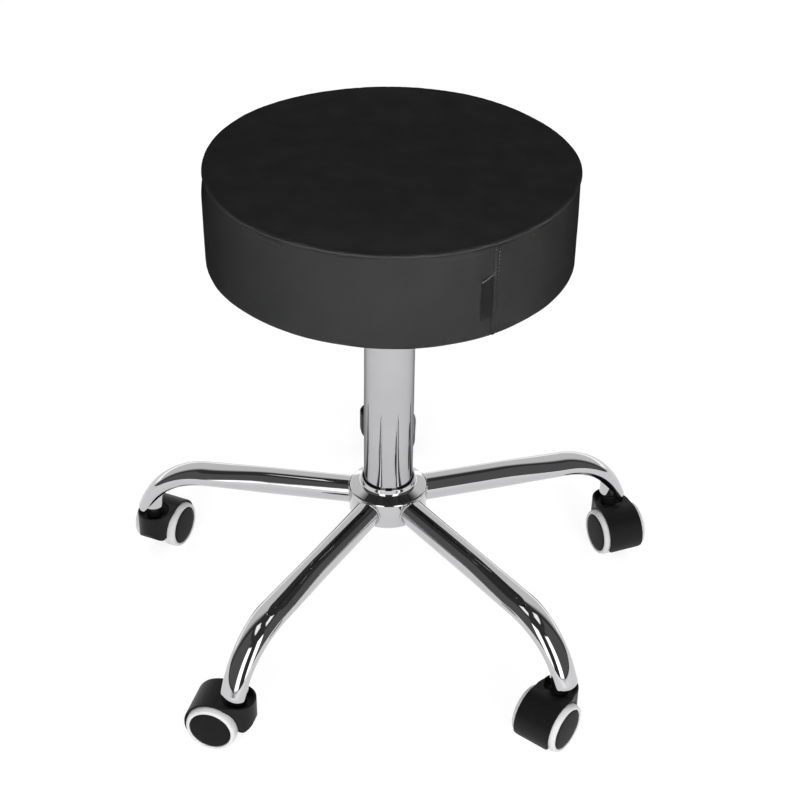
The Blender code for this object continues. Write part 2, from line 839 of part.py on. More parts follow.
def make_wheel_core():
    """The plastic wheel: hub, rim and closed outer cap, with its axis on Z and its cap at the top."""
    hub = 0.0072
    rim = 0.0204
    rim_inner = 0.0184
    bore = AXLE_RADIUS + RUNNING_GAP
    face = WHEEL_OUTER
    web = face - 0.0056
    inner = WHEEL_INNER
    return turned([
        (0, face),
        (rim, face),
        (rim, inner + 0.0012),
        (rim_inner, inner + 0.0012),
        (rim_inner, web),
        (hub, web),
        (hub, inner),
        (bore, inner),
        (bore, face - 0.0012),
        (0, face - 0.0012),
    ], steps=12, closed=False)


def make_tread():
    """The soft grey tyre round the wheel."""
    inner_radius = 0.0207
    high = WHEEL_OUTER - 0.0007
    low = WHEEL_INNER + 0.0010
    round_edge = 0.0020
    return turned([
        (inner_radius, high),
        (WHEEL_RADIUS - round_edge, high),
        (WHEEL_RADIUS, high - round_edge),
        (WHEEL_RADIUS, low + round_edge),
        (WHEEL_RADIUS - round_edge, low),
        (inner_radius, low),
    ], steps=20)


def make_casters(stand):
    stem = make_stem()
    hood = make_hood()
    core = make_wheel_core()
    tread = make_tread()
    axle = placed(cylinder(AXLE_RADIUS, -AXLE_HALF_LENGTH, AXLE_HALF_LENGTH, 12), around_y(0))
    for name, (azimuth, trail) in CASTERS.items():
        angle = math.radians(azimuth)
        foot = (STEM_CIRCLE * math.cos(angle), STEM_CIRCLE * math.sin(angle), 0)
        part(name + "_stem", stem, "bright_steel", stand, foot)
        swivel = empty(name + "_swivel_axis", stand, foot, math.radians(trail))
        part(name + "_hood", hood, "black_plastic", swivel)
        part(name + "_axle", axle, "bright_steel", swivel, (TRAIL, 0, WHEEL_RADIUS))
        for side, turn in (("a", 0.0), ("b", math.pi)):
            spin = empty(name + "_spin_axis_" + side, swivel, (TRAIL, 0, WHEEL_RADIUS))
            spin.rotation_euler = (Matrix.Rotation(turn, 4, "Z") @ around_y(0)).to_euler()
            part(name + "_core_" + side, core, "black_plastic", spin)
            part(name + "_tread_" + side, tread, "grey_tread", spin)


def make_stool():
    stand = empty("column_axis", None, COLUMN)
    make_base(stand)
    part("gas_spring_tube", make_gas_spring_tube(), "column_paint", stand)
    part("guide_bush", make_guide_bush(), "black_plastic", stand)
    part("thrust_bearing", make_thrust_bearing(), "bright_steel", stand)
    make_seat(stand)
    make_casters(stand)
    bpy.context.view_layer.update()


clear_scene()
PARTS = new_collection("swivel_stool")
CUTTERS = new_collection("cutters")
make_stool()
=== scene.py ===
"""The looks of the adjustable swivel stool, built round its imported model. Metres, +Z up."""

import json
from math import asin, atan2, cos, degrees, exp, pi, radians, remainder, sin, sqrt, tan

import bmesh
import bpy
from mathutils import Matrix, Vector, kdtree, noise


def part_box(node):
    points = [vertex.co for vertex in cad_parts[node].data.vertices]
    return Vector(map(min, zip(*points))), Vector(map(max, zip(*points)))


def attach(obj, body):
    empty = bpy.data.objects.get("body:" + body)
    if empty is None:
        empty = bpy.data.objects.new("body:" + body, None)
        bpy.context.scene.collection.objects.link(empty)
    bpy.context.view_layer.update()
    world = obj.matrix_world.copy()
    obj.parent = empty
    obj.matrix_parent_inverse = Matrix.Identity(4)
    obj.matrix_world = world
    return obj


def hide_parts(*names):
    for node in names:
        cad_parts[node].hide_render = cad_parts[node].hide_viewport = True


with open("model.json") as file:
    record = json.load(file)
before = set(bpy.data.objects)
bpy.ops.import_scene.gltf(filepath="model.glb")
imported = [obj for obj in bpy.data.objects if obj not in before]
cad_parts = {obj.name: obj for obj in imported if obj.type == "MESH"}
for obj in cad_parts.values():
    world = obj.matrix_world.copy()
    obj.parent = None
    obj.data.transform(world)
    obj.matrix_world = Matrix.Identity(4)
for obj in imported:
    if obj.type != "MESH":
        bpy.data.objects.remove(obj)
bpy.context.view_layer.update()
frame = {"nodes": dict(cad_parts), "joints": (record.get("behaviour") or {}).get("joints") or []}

JOINTS = {joint["name"]: joint for joint in frame["joints"]}
CASTERS = ("right", "back", "left", "front_left", "front_right")

# Sizes that the frame gives
def round_box(node):
    """A round node's bottom, top and radius."""
    low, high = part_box(node)
    return low.z, high.z, (high.x - low.x) / 2


def place_of(joint):
    """Where a joint's axis stands on the floor."""
    return Vector((*JOINTS[joint]["pos_m"][:2], 0.0))


COLUMN = place_of("seat_swivel")


def stem_place(name):
    return place_of(name + "_swivel")


def axle_place(name):
    return Vector(JOINTS[name + "_spin_a"]["pos_m"])


def angle_of(across):
    return atan2(across.y, across.x)


SEAT_BOTTOM, SEAT_TOP, SEAT_RADIUS = round_box("seat_cover")
HUB_BOTTOM, HUB_TOP, HUB_RADIUS = round_box("hub")
TUBE_BOTTOM, TUBE_TOP, TUBE_RADIUS = round_box("gas_spring_tube")
STEM_BOTTOM, STEM_TOP, _ = round_box("right_stem")
STEM_CIRCLE = (stem_place("right") - COLUMN).length
WHEEL_RADIUS = axle_place("right").z
TRAIL = (axle_place("right") - stem_place("right")).xy.length


# Mesh tools

def eased(share):
    share = min(1.0, max(0.0, share))
    return share * share * (3 - 2 * share)


def shares(count):
    return [i / count for i in range(1, count + 1)]


def circle(count):
    return [2 * pi * i / count for i in range(count)]


def spot(angle, radius=1.0, height=0.0):
    """A point about the Z axis."""
    return Vector((radius * cos(angle), radius * sin(angle), height))


def corner_curve(before, corner, after, reach, segments):
    """The points that round a corner between two lines, starting at most a reach away from it."""
    before = before - corner
    after = after - corner
    reach = min(reach, 0.48 * before.length, 0.48 * after.length)
    start = corner + before.normalized() * reach
    end = corner + after.normalized() * reach
    return [start * (1 - t) ** 2 + corner * 2 * t * (1 - t) + end * t ** 2 for t in [0.0, *shares(segments)]]


def rounded(points, segments=4):
    """An outline of (x, y) or (x, y, reach) points. Each corner with a reach is turned into a curve."""
    outline = [Vector(points[0][:2])]
    for before, point, after in zip(points, points[1:], points[2:]):
        if len(point) == 2:
            outline.append(Vector(point))
        else:
            ends = Vector(before[:2]), Vector(point[:2]), Vector(after[:2])
            outline += corner_curve(*ends, point[2], segments)
    return outline + [Vector(points[-1][:2])]


def smooth_path(points, reach, segments=8):
    """A path whose corners are all rounded."""
    path = [points[0]]
    for before, corner, after in zip(points, points[1:], points[2:]):
        path += corner_curve(before, corner, after, reach, segments)
    return path + [points[-1]]


def arc(centre, radius, start, end, steps):
    """Points round a centre, with angles in degrees."""
    points = []
    for i in range(steps + 1):
        angle = radians(start + (end - start) * i / steps)
        points.append((centre[0] + radius * cos(angle), centre[1] + radius * sin(angle)))
    return points


def smooth(mesh, sharp):
    """Shades a mesh smooth, with edges that stay crisp above an angle."""
    mesh.shade_smooth()
    mesh.set_sharp_from_angle(angle=radians(sharp))
    return mesh


def mesh_from(shape, sharp=38):
    mesh = bpy.data.meshes.new("mesh")
    bmesh.ops.recalc_face_normals(shape, faces=shape.faces)
    shape.to_mesh(mesh)
    shape.free()
    return smooth(mesh, sharp)


def loft(rings, loop=False, ends=False, shape=None):
    """A bmesh with faces between each ring of points and the next. A ring of one point makes a fan."""
    if shape is None:
        shape = bmesh.new()
    rings = [[shape.verts.new(point) for point in ring] for ring in rings]
    pairs = list(zip(rings, rings[1:]))
    if loop:
        pairs.append((rings[-1], rings[0]))
    for ring, following in pairs:
        count = max(len(ring), len(following))
        for i in range(count):
            j = (i + 1) % count
            corners = []
            for vertex in (ring[i % len(ring)], ring[j % len(ring)],
                           following[j % len(following)], following[i % len(following)]):
                if vertex not in corners:
                    corners.append(vertex)
            if len(corners) > 2:
                shape.faces.new(corners)
    if ends:
        shape.faces.new(rings[0])
        shape.faces.new(rings[-1])
    return shape


def lathe(profile, steps=96, loop=False, angles=None):
    """A turned shape from (radius, height) points, as a bmesh."""
    angles = angles or circle(steps)
    return loft([[spot(a, *point) for a in (angles if point[0] else [0.0])] for point in profile], loop)


def turned(points, steps=96, loop=False, segments=4):
    return mesh_from(lathe(rounded(points, segments), steps, loop))


def tube(shape, path, radius, sides=12):
    """Adds a round bar along a path of points, with one radius or one for each point."""
    rings = []
    side = None
    for index, point in enumerate(path):
        along = (path[min(index + 1, len(path) - 1)] - path[max(index - 1, 0)]).normalized()
        if side is None:
            side = along.orthogonal().normalized()
        side = (side - along * side.dot(along)).normalized()
        up = along.cross(side)
        size = radius[index] if isinstance(radius, list) else radius
        rings.append([point + size * (side * cos(a) + up * sin(a)) for a in circle(sides)])
    return loft(rings, ends=True, shape=shape)


def joined(shapes, sharp=38):
    """Several bmeshes as one mesh."""
    whole = bmesh.new()
    for shape in shapes:
        part = bpy.data.meshes.new("part")
        shape.to_mesh(part)
        shape.free()
        whole.from_mesh(part)
        bpy.data.meshes.remove(part)
    return mesh_from(whole, sharp)


def linked(name, data):
    item = bpy.data.objects.new(name, data)
    bpy.context.scene.collection.objects.link(item)
    return item


def finished(item):
    """A scratch object's mesh with its modifiers applied."""
    graph = bpy.context.evaluated_depsgraph_get()
    mesh = bpy.data.meshes.new_from_object(item.evaluated_get(graph))
    bpy.data.objects.remove(item)
    return mesh


def thickened(mesh, thickness, offset):
    item = linked("scratch", mesh)
    solid = item.modifiers.new("solid", "SOLIDIFY")
    solid.thickness = thickness
    solid.offset = offset
    return finished(item)


def combined(mesh, *steps):
    """Booleans in turn: each step is an operation and the mesh that it takes."""
    item = linked("scratch", mesh)
    tools = []
    for operation, other in steps:
        tools.append(linked("scratch", other))
        modifier = item.modifiers.new(operation.lower(), "BOOLEAN")
        modifier.operation = operation
        modifier.object = tools[-1]
    result = finished(item)
    for tool in tools:
        bpy.data.objects.remove(tool)
    return result


def placed(mesh, matrix):
    copy = mesh.copy()
    copy.transform(matrix)
    return copy


def prism(outline, low, high):
    return mesh_from(loft([[(point[0], point[1], z) for point in outline] for z in (low, high)], ends=True))


def cylinder(radius, low, high, steps=96):
    return mesh_from(lathe([(0, high), (radius, high), (radius, low), (0, low)], steps))


def block(size, middle):
    shape = bmesh.new()
    bmesh.ops.create_cube(shape, size=1.0, matrix=Matrix.LocRotScale(Vector(middle), None, Vector(size)))
    return shape


def piece(name, mesh, look, body, matrix=None, replaces=()):
    """Puts a mesh in the scene as a piece that rides on a body."""
    item = linked(name, mesh)
    usual_slot, material = LOOKS[look]
    if not mesh.materials:
        mesh.name = name
        mesh.materials.append(material)
    item.matrix_world = matrix or Matrix.Translation(COLUMN)
    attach(item, body)
    if replaces:
        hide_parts(*replaces)
    return item


def detailed(node, mesh, look, body, matrix=None):
    """A piece that stands for one CAD node."""
    return piece(node + "_detailed", mesh, look, body, matrix, (node,))


# Materials

class Nodes:
    """A node tree and short ways to add to it."""

    def __init__(self, tree):
        self.tree = tree

    def node(self, kind, links=None, **values):
        made = self.tree.nodes.new("ShaderNode" + kind)
        for key, value in values.items():
            if hasattr(made, key):
                setattr(made, key, value)
            else:
                made.inputs[key.replace("_", " ")].default_value = value
        for socket, source in (links or {}).items():
            self.tree.links.new(source, made.inputs[socket])
        return made

    def ramp(self, source, low, high, start=0.0, end=1.0, **values):
        """Maps a range of a value onto another range."""
        return self.node("MapRange", {"Value": source}, From_Min=start, From_Max=end, To_Min=low, To_Max=high,
                         **values).outputs["Result"]

    def maths(self, operation, first, second, *rest):
        """A Math node on two terms, then one on its result and the next term, and so on."""
        made = self.node("Math", operation=operation)
        for socket, term in zip(made.inputs, (first, second)):
            if isinstance(term, float):
                socket.default_value = term
            else:
                self.tree.links.new(term, socket)
        return self.maths(operation, made.outputs[0], *rest) if rest else made.outputs[0]


class Surface(Nodes):
    """A Principled material and short ways to drive it."""

    def __init__(self, name, colour, roughness, metallic=0.0, **values):
        self.material = bpy.data.materials.new(name)
        self.material.use_nodes = True
        super().__init__(self.material.node_tree)
        self.shader = self.tree.nodes["Principled BSDF"].inputs
        self.place = self.node("TexCoord").outputs["Object"]
        values.update(Base_Color=(*colour, 1.0), Roughness=roughness, Metallic=metallic)
        for socket, value in values.items():
            self.shader[socket.replace("_", " ")].default_value = value

    def stretched(self, *scale):
        return self.node("Mapping", {"Vector": self.place}, Scale=scale).outputs["Vector"]

    def noise(self, scale, detail=3.0, roughness=0.55, place=None):
        return self.node("TexNoise", {"Vector": place or self.place},
                         Scale=scale, Detail=detail, Roughness=roughness).outputs["Fac"]

    def cells(self, scale, feature="F1", randomness=1.0):
        return self.node("TexVoronoi", {"Vector": self.place},
                         feature=feature, Scale=scale, Randomness=randomness).outputs["Distance"]

    def wave(self, scale, place=None, **values):
        return self.node("TexWave", {"Vector": place or self.place}, Scale=scale, **values).outputs["Fac"]

    def colours(self, source, *stops):
        """Drives the base colour by stops along a value: a position, and one shade or red, green and blue."""
        made = self.node("ValToRGB", {"Fac": source})
        elements = made.color_ramp.elements
        while len(elements) < len(stops):
            elements.new(0.5)
        for element, (position, *shade) in zip(elements, stops):
            element.position = position
            element.color = (*(shade * 3)[:3], 1.0)
        self.drive("Base Color", made.outputs["Color"])

    def drive(self, socket, source):
        self.tree.links.new(source, self.shader[socket])

    def bumped(self, height, distance):
        """The material, with its last part: the fine relief."""
        bump = self.node("Bump", {"Height": height}, Strength=1.0, Distance=distance)
        self.drive("Normal", bump.outputs["Normal"])
        return self.material


def leather(name, shade):
    """Matt black artificial leather: small pebbles with creases between them."""
    s = Surface(name, (shade, shade, shade), 0.5, Specular_IOR_Level=0.0)
    warp = s.noise(160.0, 2.0)
    pebbles = s.cells(1150.0, "SMOOTH_F1")
    fine = s.noise(2600.0, 2.0)
    grain = s.maths("ADD", s.ramp(pebbles, 1.0, 0.0, 0.05, 0.75), s.ramp(fine, 0.0, 0.22))
    grain = s.maths("MULTIPLY", grain, s.ramp(warp, 0.75, 1.1))
    s.colours(s.noise(38.0, 4.0), (0.3, shade * 0.9), (0.7, shade * 1.12))
    s.drive("Roughness", s.maths("ADD", s.ramp(grain, 0.56, 0.44), s.ramp(s.noise(22.0, 5.0), -0.03, 0.04)))
    return s.bumped(grain, 0.00007)


def thread():
    """Twisted polyester thread."""
    s = Surface("black_thread", (0.02, 0.02, 0.021), 0.55, Sheen_Weight=0.15)
    twist = s.wave(900.0, Distortion=1.5)
    s.colours(twist, (0.2, 0.012, 0.012, 0.013), (0.8, 0.03, 0.03, 0.032))
    return s.bumped(twist, 0.00006)


def woven_label():
    """A black satin ribbon with a fine weave."""
    s = Surface("woven_label", (0.004, 0.004, 0.004), 0.6, Specular_IOR_Level=0.05)
    weave = s.maths("MULTIPLY", s.wave(700.0, bands_direction="Z"), s.wave(1100.0, bands_direction="X"))
    s.colours(weave, (0.0, 0.002), (1.0, 0.007))
    return s.bumped(weave, 0.00008)


def chrome(name="chrome", roughness=0.035, shade=0.52, rim=1.0):
    """Mirror chrome plate with faint polishing waviness, hairline scuffs and fingerprints."""
    s = Surface(name, (shade, shade, shade + 0.01), roughness, 1.0, Specular_Tint=(rim, rim, rim, 1.0))
    film = s.noise(16.0, 5.0, 0.6)
    scuffs = s.noise(60.0, 8.0, 0.75, s.stretched(1.0, 1.0, 9.0))
    low, high = shade - 0.02, shade + 0.02
    s.colours(film, (0.25, low, low, low + 0.01), (0.75, high, high, high + 0.01))
    s.drive("Roughness", s.maths("ADD", s.ramp(film, roughness * 0.7, roughness * 1.5, 0.3, 0.7),
                               s.ramp(scuffs, 0.0, 0.05, 0.62, 0.85)))
    return s.bumped(s.noise(45.0, 2.0), 0.00003)


def mottled(surface, tones, stops, polish, relief):
    """A surface with noise in its colour, its roughness and its fine relief."""
    s = surface
    s.colours(s.noise(*tones), *stops)
    s.drive("Roughness", s.ramp(s.noise(*polish[0]), *polish[1:]))
    return s.bumped(s.noise(*relief[0]), relief[1])


def steel():
    """Bright zinc-plated steel."""
    return mottled(Surface("bright_steel", (0.62, 0.62, 0.62), 0.28, 1.0), (120.0, 5.0),
                   ((0.3, 0.5, 0.5, 0.51), (0.7, 0.66, 0.66, 0.65)), ((400.0, 4.0), 0.2, 0.36),
                   ((400.0, 4.0), 0.00003))


def powder_coat():
    """Black powder-coated steel with a fine orange peel."""
    return mottled(Surface("black_steel", (0.018, 0.018, 0.018), 0.42), (60.0, 6.0),
                   ((0.35, 0.014), (0.75, 0.024)), ((35.0, 6.0), 0.34, 0.52), ((900.0, 2.0), 0.00009))


def soft_tread():
    """Light grey polyurethane with rolling marks and a little dust."""
    s = Surface("grey_tread", (0.5, 0.5, 0.505), 0.42, Specular_IOR_Level=0.25)
    stops = (0.25, 0.45, 0.45, 0.455), (0.5, 0.505, 0.505, 0.51), (0.85, 0.53, 0.53, 0.535)
    dust = 130.0, 7.0, 0.7
    return mottled(s, dust, stops, (dust, 0.36, 0.5, 0.3, 0.7), ((700.0, 4.0), 0.00006))


def moulded_plastic(name, colour, roughness, specular):
    """Moulded plastic with a spark-eroded texture."""
    s = Surface(name, colour, roughness, Specular_IOR_Level=specular)
    sparks = s.noise(1500.0, 3.0, 0.6)
    dark, light = [0.82 * c for c in colour], [1.22 * c for c in colour]
    s.colours(s.noise(70.0, 6.0, 0.65), (0.3, *dark), (0.75, *light))
    s.drive("Roughness", s.maths("ADD", s.ramp(sparks, roughness - 0.04, roughness + 0.06),
                               s.ramp(s.noise(28.0, 5.0), -0.04, 0.05)))
    return s.bumped(sparks, 0.00005)


def plywood():
    s = Surface("plywood", (0.45, 0.31, 0.18), 0.7)
    rings = s.wave(14.0, s.stretched(1.0, 12.0, 1.0), Distortion=6.0, Detail=4.0)
    s.colours(rings, (0.0, 0.36, 0.24, 0.13), (1.0, 0.55, 0.4, 0.25))
    return s.bumped(s.noise(300.0, 5.0, 0.6, s.stretched(1.0, 14.0, 1.0)), 0.0002)


def nonwoven():
    """Black nonwoven cloth with an embossed point pattern."""
    s = Surface("dust_cloth", (0.016, 0.016, 0.017), 0.9, Sheen_Weight=0.25)
    points = s.cells(620.0, randomness=0.0)
    fibres = s.noise(1800.0, 6.0, 0.7)
    s.colours(fibres, (0.3, 0.009, 0.009, 0.01), (0.7, 0.026, 0.026, 0.028))
    return s.bumped(s.maths("ADD", s.ramp(points, 0.0, 1.0, 0.1, 0.5), s.ramp(fibres, 0.0, 0.35)), 0.00018)


# Each look's material slot in the frame, where it has one, and its material
LOOKS = {
    "chrome": ("chrome", chrome()),
    "column": ("column_paint", chrome("column_chrome", 0.06, shade=0.46, rim=0.3)),
    "steel": ("bright_steel", steel()),
    "powder_coat": (None, powder_coat()),
    "hood": ("black_plastic", moulded_plastic("hood_plastic", (0.0056, 0.0056, 0.0056), 0.4, 0.14)),
    "cap": ("black_plastic", moulded_plastic("cap_plastic", (0.0085, 0.0082, 0.0085), 0.36, 0.04)),
    "grip": ("black_plastic", moulded_plastic("grip_plastic", (0.018, 0.018, 0.018), 0.45, 0.22)),
    "tread": ("grey_tread", soft_tread()),
    # One leather in two copies: painted lighter on the top panel, and painted darker on the side panel as
    # painted shade
    "leather_painted_lighter_top": ("black_leather", leather("leather_painted_lighter_top", 0.014)),
    "leather_painted_darker_side": ("black_leather", leather("leather_painted_darker_side", 0.0074)),
    "thread": ("black_leather", thread()),
    "label": ("black_leather", woven_label()),
    "plywood": (None, plywood()),
    "nonwoven": ("dust_cloth", nonwoven()),
}


def dress(look, *nodes):
    """Gives CAD nodes that stay in view a finished material."""
    for node in nodes:
        mesh = frame["nodes"][node].data
        mesh.materials.clear()
        mesh.materials.append(LOOKS[look][1])


# The seat

SEAM_ANGLE = radians(-62.9)  # the side panel's ends are sewn together here
SEAM_DROP = 0.0048  # from the crown to the seam round the top panel
SEAM = SEAT_TOP - SEAM_DROP
STITCH_DROP = 0.0052  # from that seam to the topstitching under it
STITCH_BESIDE = 0.0048  # from the side panel's seam to the topstitching beside it
OVERHANG = 0.0012  # of the top panel past the side
CROWN = 0.0022  # how far the filling pushes the top up
LOOSE = 0.0012  # how far below its full height the unfilled top lies
WRAP = 0.03  # the cover's hem under the board
PLUMP = 0.0006  # how far the rim stands out past the plain cushion
PINCH = 0.0028  # how far the cover pulls the top edge in on one side
BULGE = 0.0022  # how far the side stands out on another
RIM = SEAT_RADIUS + PLUMP


def cushion_rings():
    """The cover from the middle of the top, over the rolled edge and seam, down the side and under.

    They are (radius, height), and lie close together where the cover is sewn or turned.
    """
    top = SEAT_TOP - LOOSE
    side = RIM - OVERHANG
    roll = 0.0065
    flat = RIM - roll
    rings = [(0.0, top)]
    for t in shares(34):
        share = 1 - (1 - t) ** 1.5
        rings.append((flat * share, top - 0.0013 * share ** 6))
    edge = rings[-1][1]
    for t in shares(14):
        turn = pi / 2 * t
        drop = (edge - SEAM - 0.0004) * (1 - cos(turn)) ** 1.15
        rings.append((flat + roll * sin(turn) ** 0.9, edge - drop))
    for inset, drop in ((0.0003, 0.0), (0.001, 0.0005), (0.0021, 0.0008), (0.0023, 0.0012), (0.0016, 0.0017),
                        (OVERHANG + 0.0001, 0.0026)):
        rings.append((RIM - inset, SEAM - drop))
    start = rings[-1][1]
    stitch = SEAM - STITCH_DROP
    for t in shares(8):
        rings.append((side + 0.00015 * sin(pi * t), start + (stitch - start - 0.001) * t))
    for offset, depth in ((-0.0004, 0.0002), (0.0, 0.0004), (0.0004, 0.0002), (0.001, 0.0)):
        rings.append((side - depth, stitch - offset))
    low = SEAT_BOTTOM + 0.0002
    corner = 0.0032
    sag = 0.0023
    start = rings[-1][1]
    end = low - sag + corner
    for t in shares(30):
        rings.append((side + 0.0003 * sin(pi * t), start + (end - start) * t))
    side = rings[-1][0]
    for t in shares(10):
        turn = pi / 2 * t
        rings.append((side - corner * (1 - cos(turn)), end - corner * sin(turn)))
    for t in shares(12):
        rings.append((side - corner - (WRAP - corner) * t, low - sag * (1 - eased(2.5 * t))))
    return rings


def seat_angles():
    """Angles round the seat, closer together at the side panel's seam."""
    even = 300
    gaps = (0.0003, 0.0006, 0.0009, 0.0013, 0.0018, 0.0025, 0.0034, 0.0045, 0.0048, 0.0051, 0.0054, 0.0065)
    near = (gaps[-1] + 0.0008) / SEAT_RADIUS
    angles = [SEAM_ANGLE + 2 * pi * (i + 0.5) / even for i in range(even)]
    angles = [a for a in angles if near < (a - SEAM_ANGLE) % (2 * pi) < 2 * pi - near]
    for gap in gaps:
        angles += [SEAM_ANGLE + gap / SEAT_RADIUS, SEAM_ANGLE - gap / SEAT_RADIUS]
    angles.append(SEAM_ANGLE)
    return sorted(a % (2 * pi) for a in angles)


def seat_cage():
    """A coarse closed form of the cushion for the cloth simulation."""
    top = SEAT_TOP - LOOSE
    profile = [(0.0, top)]
    profile += [(RIM * i / 30, top - 0.001 * (i / 30) ** 6) for i in range(1, 30)]
    profile += [(RIM, SEAM)]
    profile += [(RIM - 0.001, SEAM + (SEAT_BOTTOM - SEAM) * i / 16) for i in range(1, 17)]
    profile += [(RIM * (1 - i / 12), SEAT_BOTTOM) for i in range(1, 13)]
    return mesh_from(lathe(profile, 120))


def settle(cage):
    """Cloth under the filling's pressure. Returns where the cage's vertices are and how far each moves."""
    frames = 20
    item = linked("scratch", cage)
    held = item.vertex_groups.new(name="held")
    for vertex in cage.vertices:
        weight = 0.0
        if vertex.co.z < SEAT_BOTTOM + 0.006:
            weight = 1.0
        elif vertex.co.xy.length > SEAT_RADIUS - 0.004 and abs(vertex.co.z - SEAM) < 0.002:
            weight = 0.96
        held.add([vertex.index], weight, "REPLACE")
    cloth = item.modifiers.new("cloth", "CLOTH")
    settings = dict(quality=6, mass=0.35, tension_stiffness=60, compression_stiffness=60,
                    shear_stiffness=30, bending_stiffness=8, use_pressure=True,
                    uniform_pressure_force=4.0, vertex_group_mass="held")
    for setting, value in settings.items():
        setattr(cloth.settings, setting, value)
    cloth.settings.effector_weights.gravity = 0.0
    cloth.point_cache.frame_start = 1
    cloth.point_cache.frame_end = frames
    scene = bpy.context.scene
    for step in range(1, frames + 1):
        scene.frame_set(step)
    rest = [vertex.co.copy() for vertex in cage.vertices]
    graph = bpy.context.evaluated_depsgraph_get()
    puffed = [vertex.co.copy() for vertex in item.evaluated_get(graph).data.vertices]
    scene.frame_set(1)
    bpy.data.objects.remove(item)
    moves = [after - before for before, after in zip(rest, puffed)]
    share = min(1.0, CROWN / max(move.length for move in moves))
    return rest, [move * share for move in moves]


def make_filling():
    """A function that says how far the settled cushion moved at a point of the cover."""
    rest, moves = settle(seat_cage())
    tree = kdtree.KDTree(len(rest))
    for index, point in enumerate(rest):
        tree.insert(point, index)
    tree.balance()

    def filling(point):
        total = Vector()
        weights = 0.0
        for _, index, distance in tree.find_n(point, 6):
            weight = 1 / (distance + 0.002) ** 2
            total += moves[index] * weight
            weights += weight
        return total / weights

    return filling


def unevenness(angle, height):
    """How far the hand-stretched cover stands off a true circle, in metres."""
    def near(middle, width):
        return exp(-(remainder(angle - middle, 2 * pi) / width) ** 2)

    upper = eased((height - SEAT_TOP + 0.03) / 0.026)
    slow = 0.0007 * sin(3 * angle + 0.6) + 0.0005 * sin(5 * angle + 2.1)
    slow -= PINCH * near(0.6, 0.5) * upper
    slow += BULGE * near(pi, 0.6) * (1 - upper)
    place = spot(angle, 2.2, 9.0 * height)
    return slow + 0.0007 * noise.noise(place * 1.6) + 0.00025 * noise.noise(place * 5.0)


def shaped(point, filling):
    """Where a point of the true cushion form ends up on the stuffed one."""
    radius = point.xy.length
    moved = point.copy()
    if filling is not None:
        moved += filling(point)
    elif point.z > SEAT_TOP - 0.004:
        moved.z += CROWN * max(0.0, 1 - (radius / SEAT_RADIUS) ** 2)
    if radius < 1e-6:
        return moved
    angle = atan2(point.y, point.x)
    away = spot(angle)
    nearness = min(1.0, max(0.0, (radius - 0.6 * SEAT_RADIUS) / (0.4 * SEAT_RADIUS)))
    moved += away * unevenness(angle, point.z) * nearness ** 2
    gathers = 0.00022 * noise.noise(spot(angle, 60, 0.3))
    moved.z += gathers * exp(-((point.z - SEAM) / 0.004) ** 2) * nearness ** 4
    moved += away * gathers * exp(-((point.z - SEAM + 0.009) / 0.006) ** 2) * nearness ** 4
    if point.z < SEAM - 0.001 and radius > SEAT_RADIUS - 0.02:
        across = remainder(angle - SEAM_ANGLE, 2 * pi) * SEAT_RADIUS
        fade = min(1.0, (SEAM - 0.001 - point.z) / 0.003)
        # The seam's groove, the fold on each side of it and the line of stitches beside it
        for depth, middle, width in ((-0.0013, 0.0, 0.0006), (0.0007, 0.0024, 0.0018),
                                     (0.0002, -0.0018, 0.0012), (-0.0005, STITCH_BESIDE, 0.0004)):
            moved += away * depth * exp(-((across - middle) / width) ** 2) * fade
    return moved


def make_cover(filling):
    """The sewn cover, drawn over the filling: the top panel, then the side panel and its hem."""
    shape = lathe(cushion_rings(), angles=seat_angles())
    # Faces above the seam take the leather painted lighter, and those below it the copy painted darker as
    # painted shade
    for face in shape.faces:
        face.material_index = int(face.calc_center_median().z < SEAM - 0.0009)
    for vertex in shape.verts:
        vertex.co = shaped(vertex.co.copy(), filling)
    mesh = mesh_from(shape, 80)
    for look in ("leather_painted_lighter_top", "leather_painted_darker_side"):
        mesh.materials.append(LOOKS[look][1])
    mesh = thickened(mesh, 0.001, -1)
    mesh.name = "seat_cushion"
    cushion = piece("seat_cushion", mesh, "leather_painted_lighter_top", "seat", replaces=("seat_cover", "foam_pad"))


def stitch(shape, place, away, along):
    """One stitch: a short bar of thread that dips into the cover at both ends."""
    half = 0.0014
    steps = [i / 3 - 1 for i in range(7)]
    path = [place + along * half * t + away * (0.00022 - 0.0006 * t ** 4) for t in steps]
    tube(shape, path, [0.00014, 0.00022, 0.00026, 0.00028, 0.00026, 0.00022, 0.00014], 6)


def make_stitching(filling):
    """The topstitching under the top seam and beside the side panel's seam."""
    shape = bmesh.new()
    rim = RIM - OVERHANG - 0.0004
    height = SEAM - STITCH_DROP
    pitch = 0.0038
    count = round(2 * pi * rim / pitch)
    for i in range(count):
        angle = SEAM_ANGLE + 2 * pi * (i + 0.5) / count
        stitch(shape, shaped(spot(angle, rim, height), filling), spot(angle), spot(angle + pi / 2))
    angle = SEAM_ANGLE + STITCH_BESIDE / SEAT_RADIUS
    down = height - 0.003
    while down > SEAT_BOTTOM + 0.005:
        share = (height - down) / (height - SEAT_BOTTOM)
        place = shaped(spot(angle, rim + 0.0004 - 0.0003 * share ** 2, down), filling)
        stitch(shape, place, spot(angle), Vector((0, 0, 1)))
        down -= pitch
    piece("seat_topstitch", mesh_from(shape), "thread", "seat")


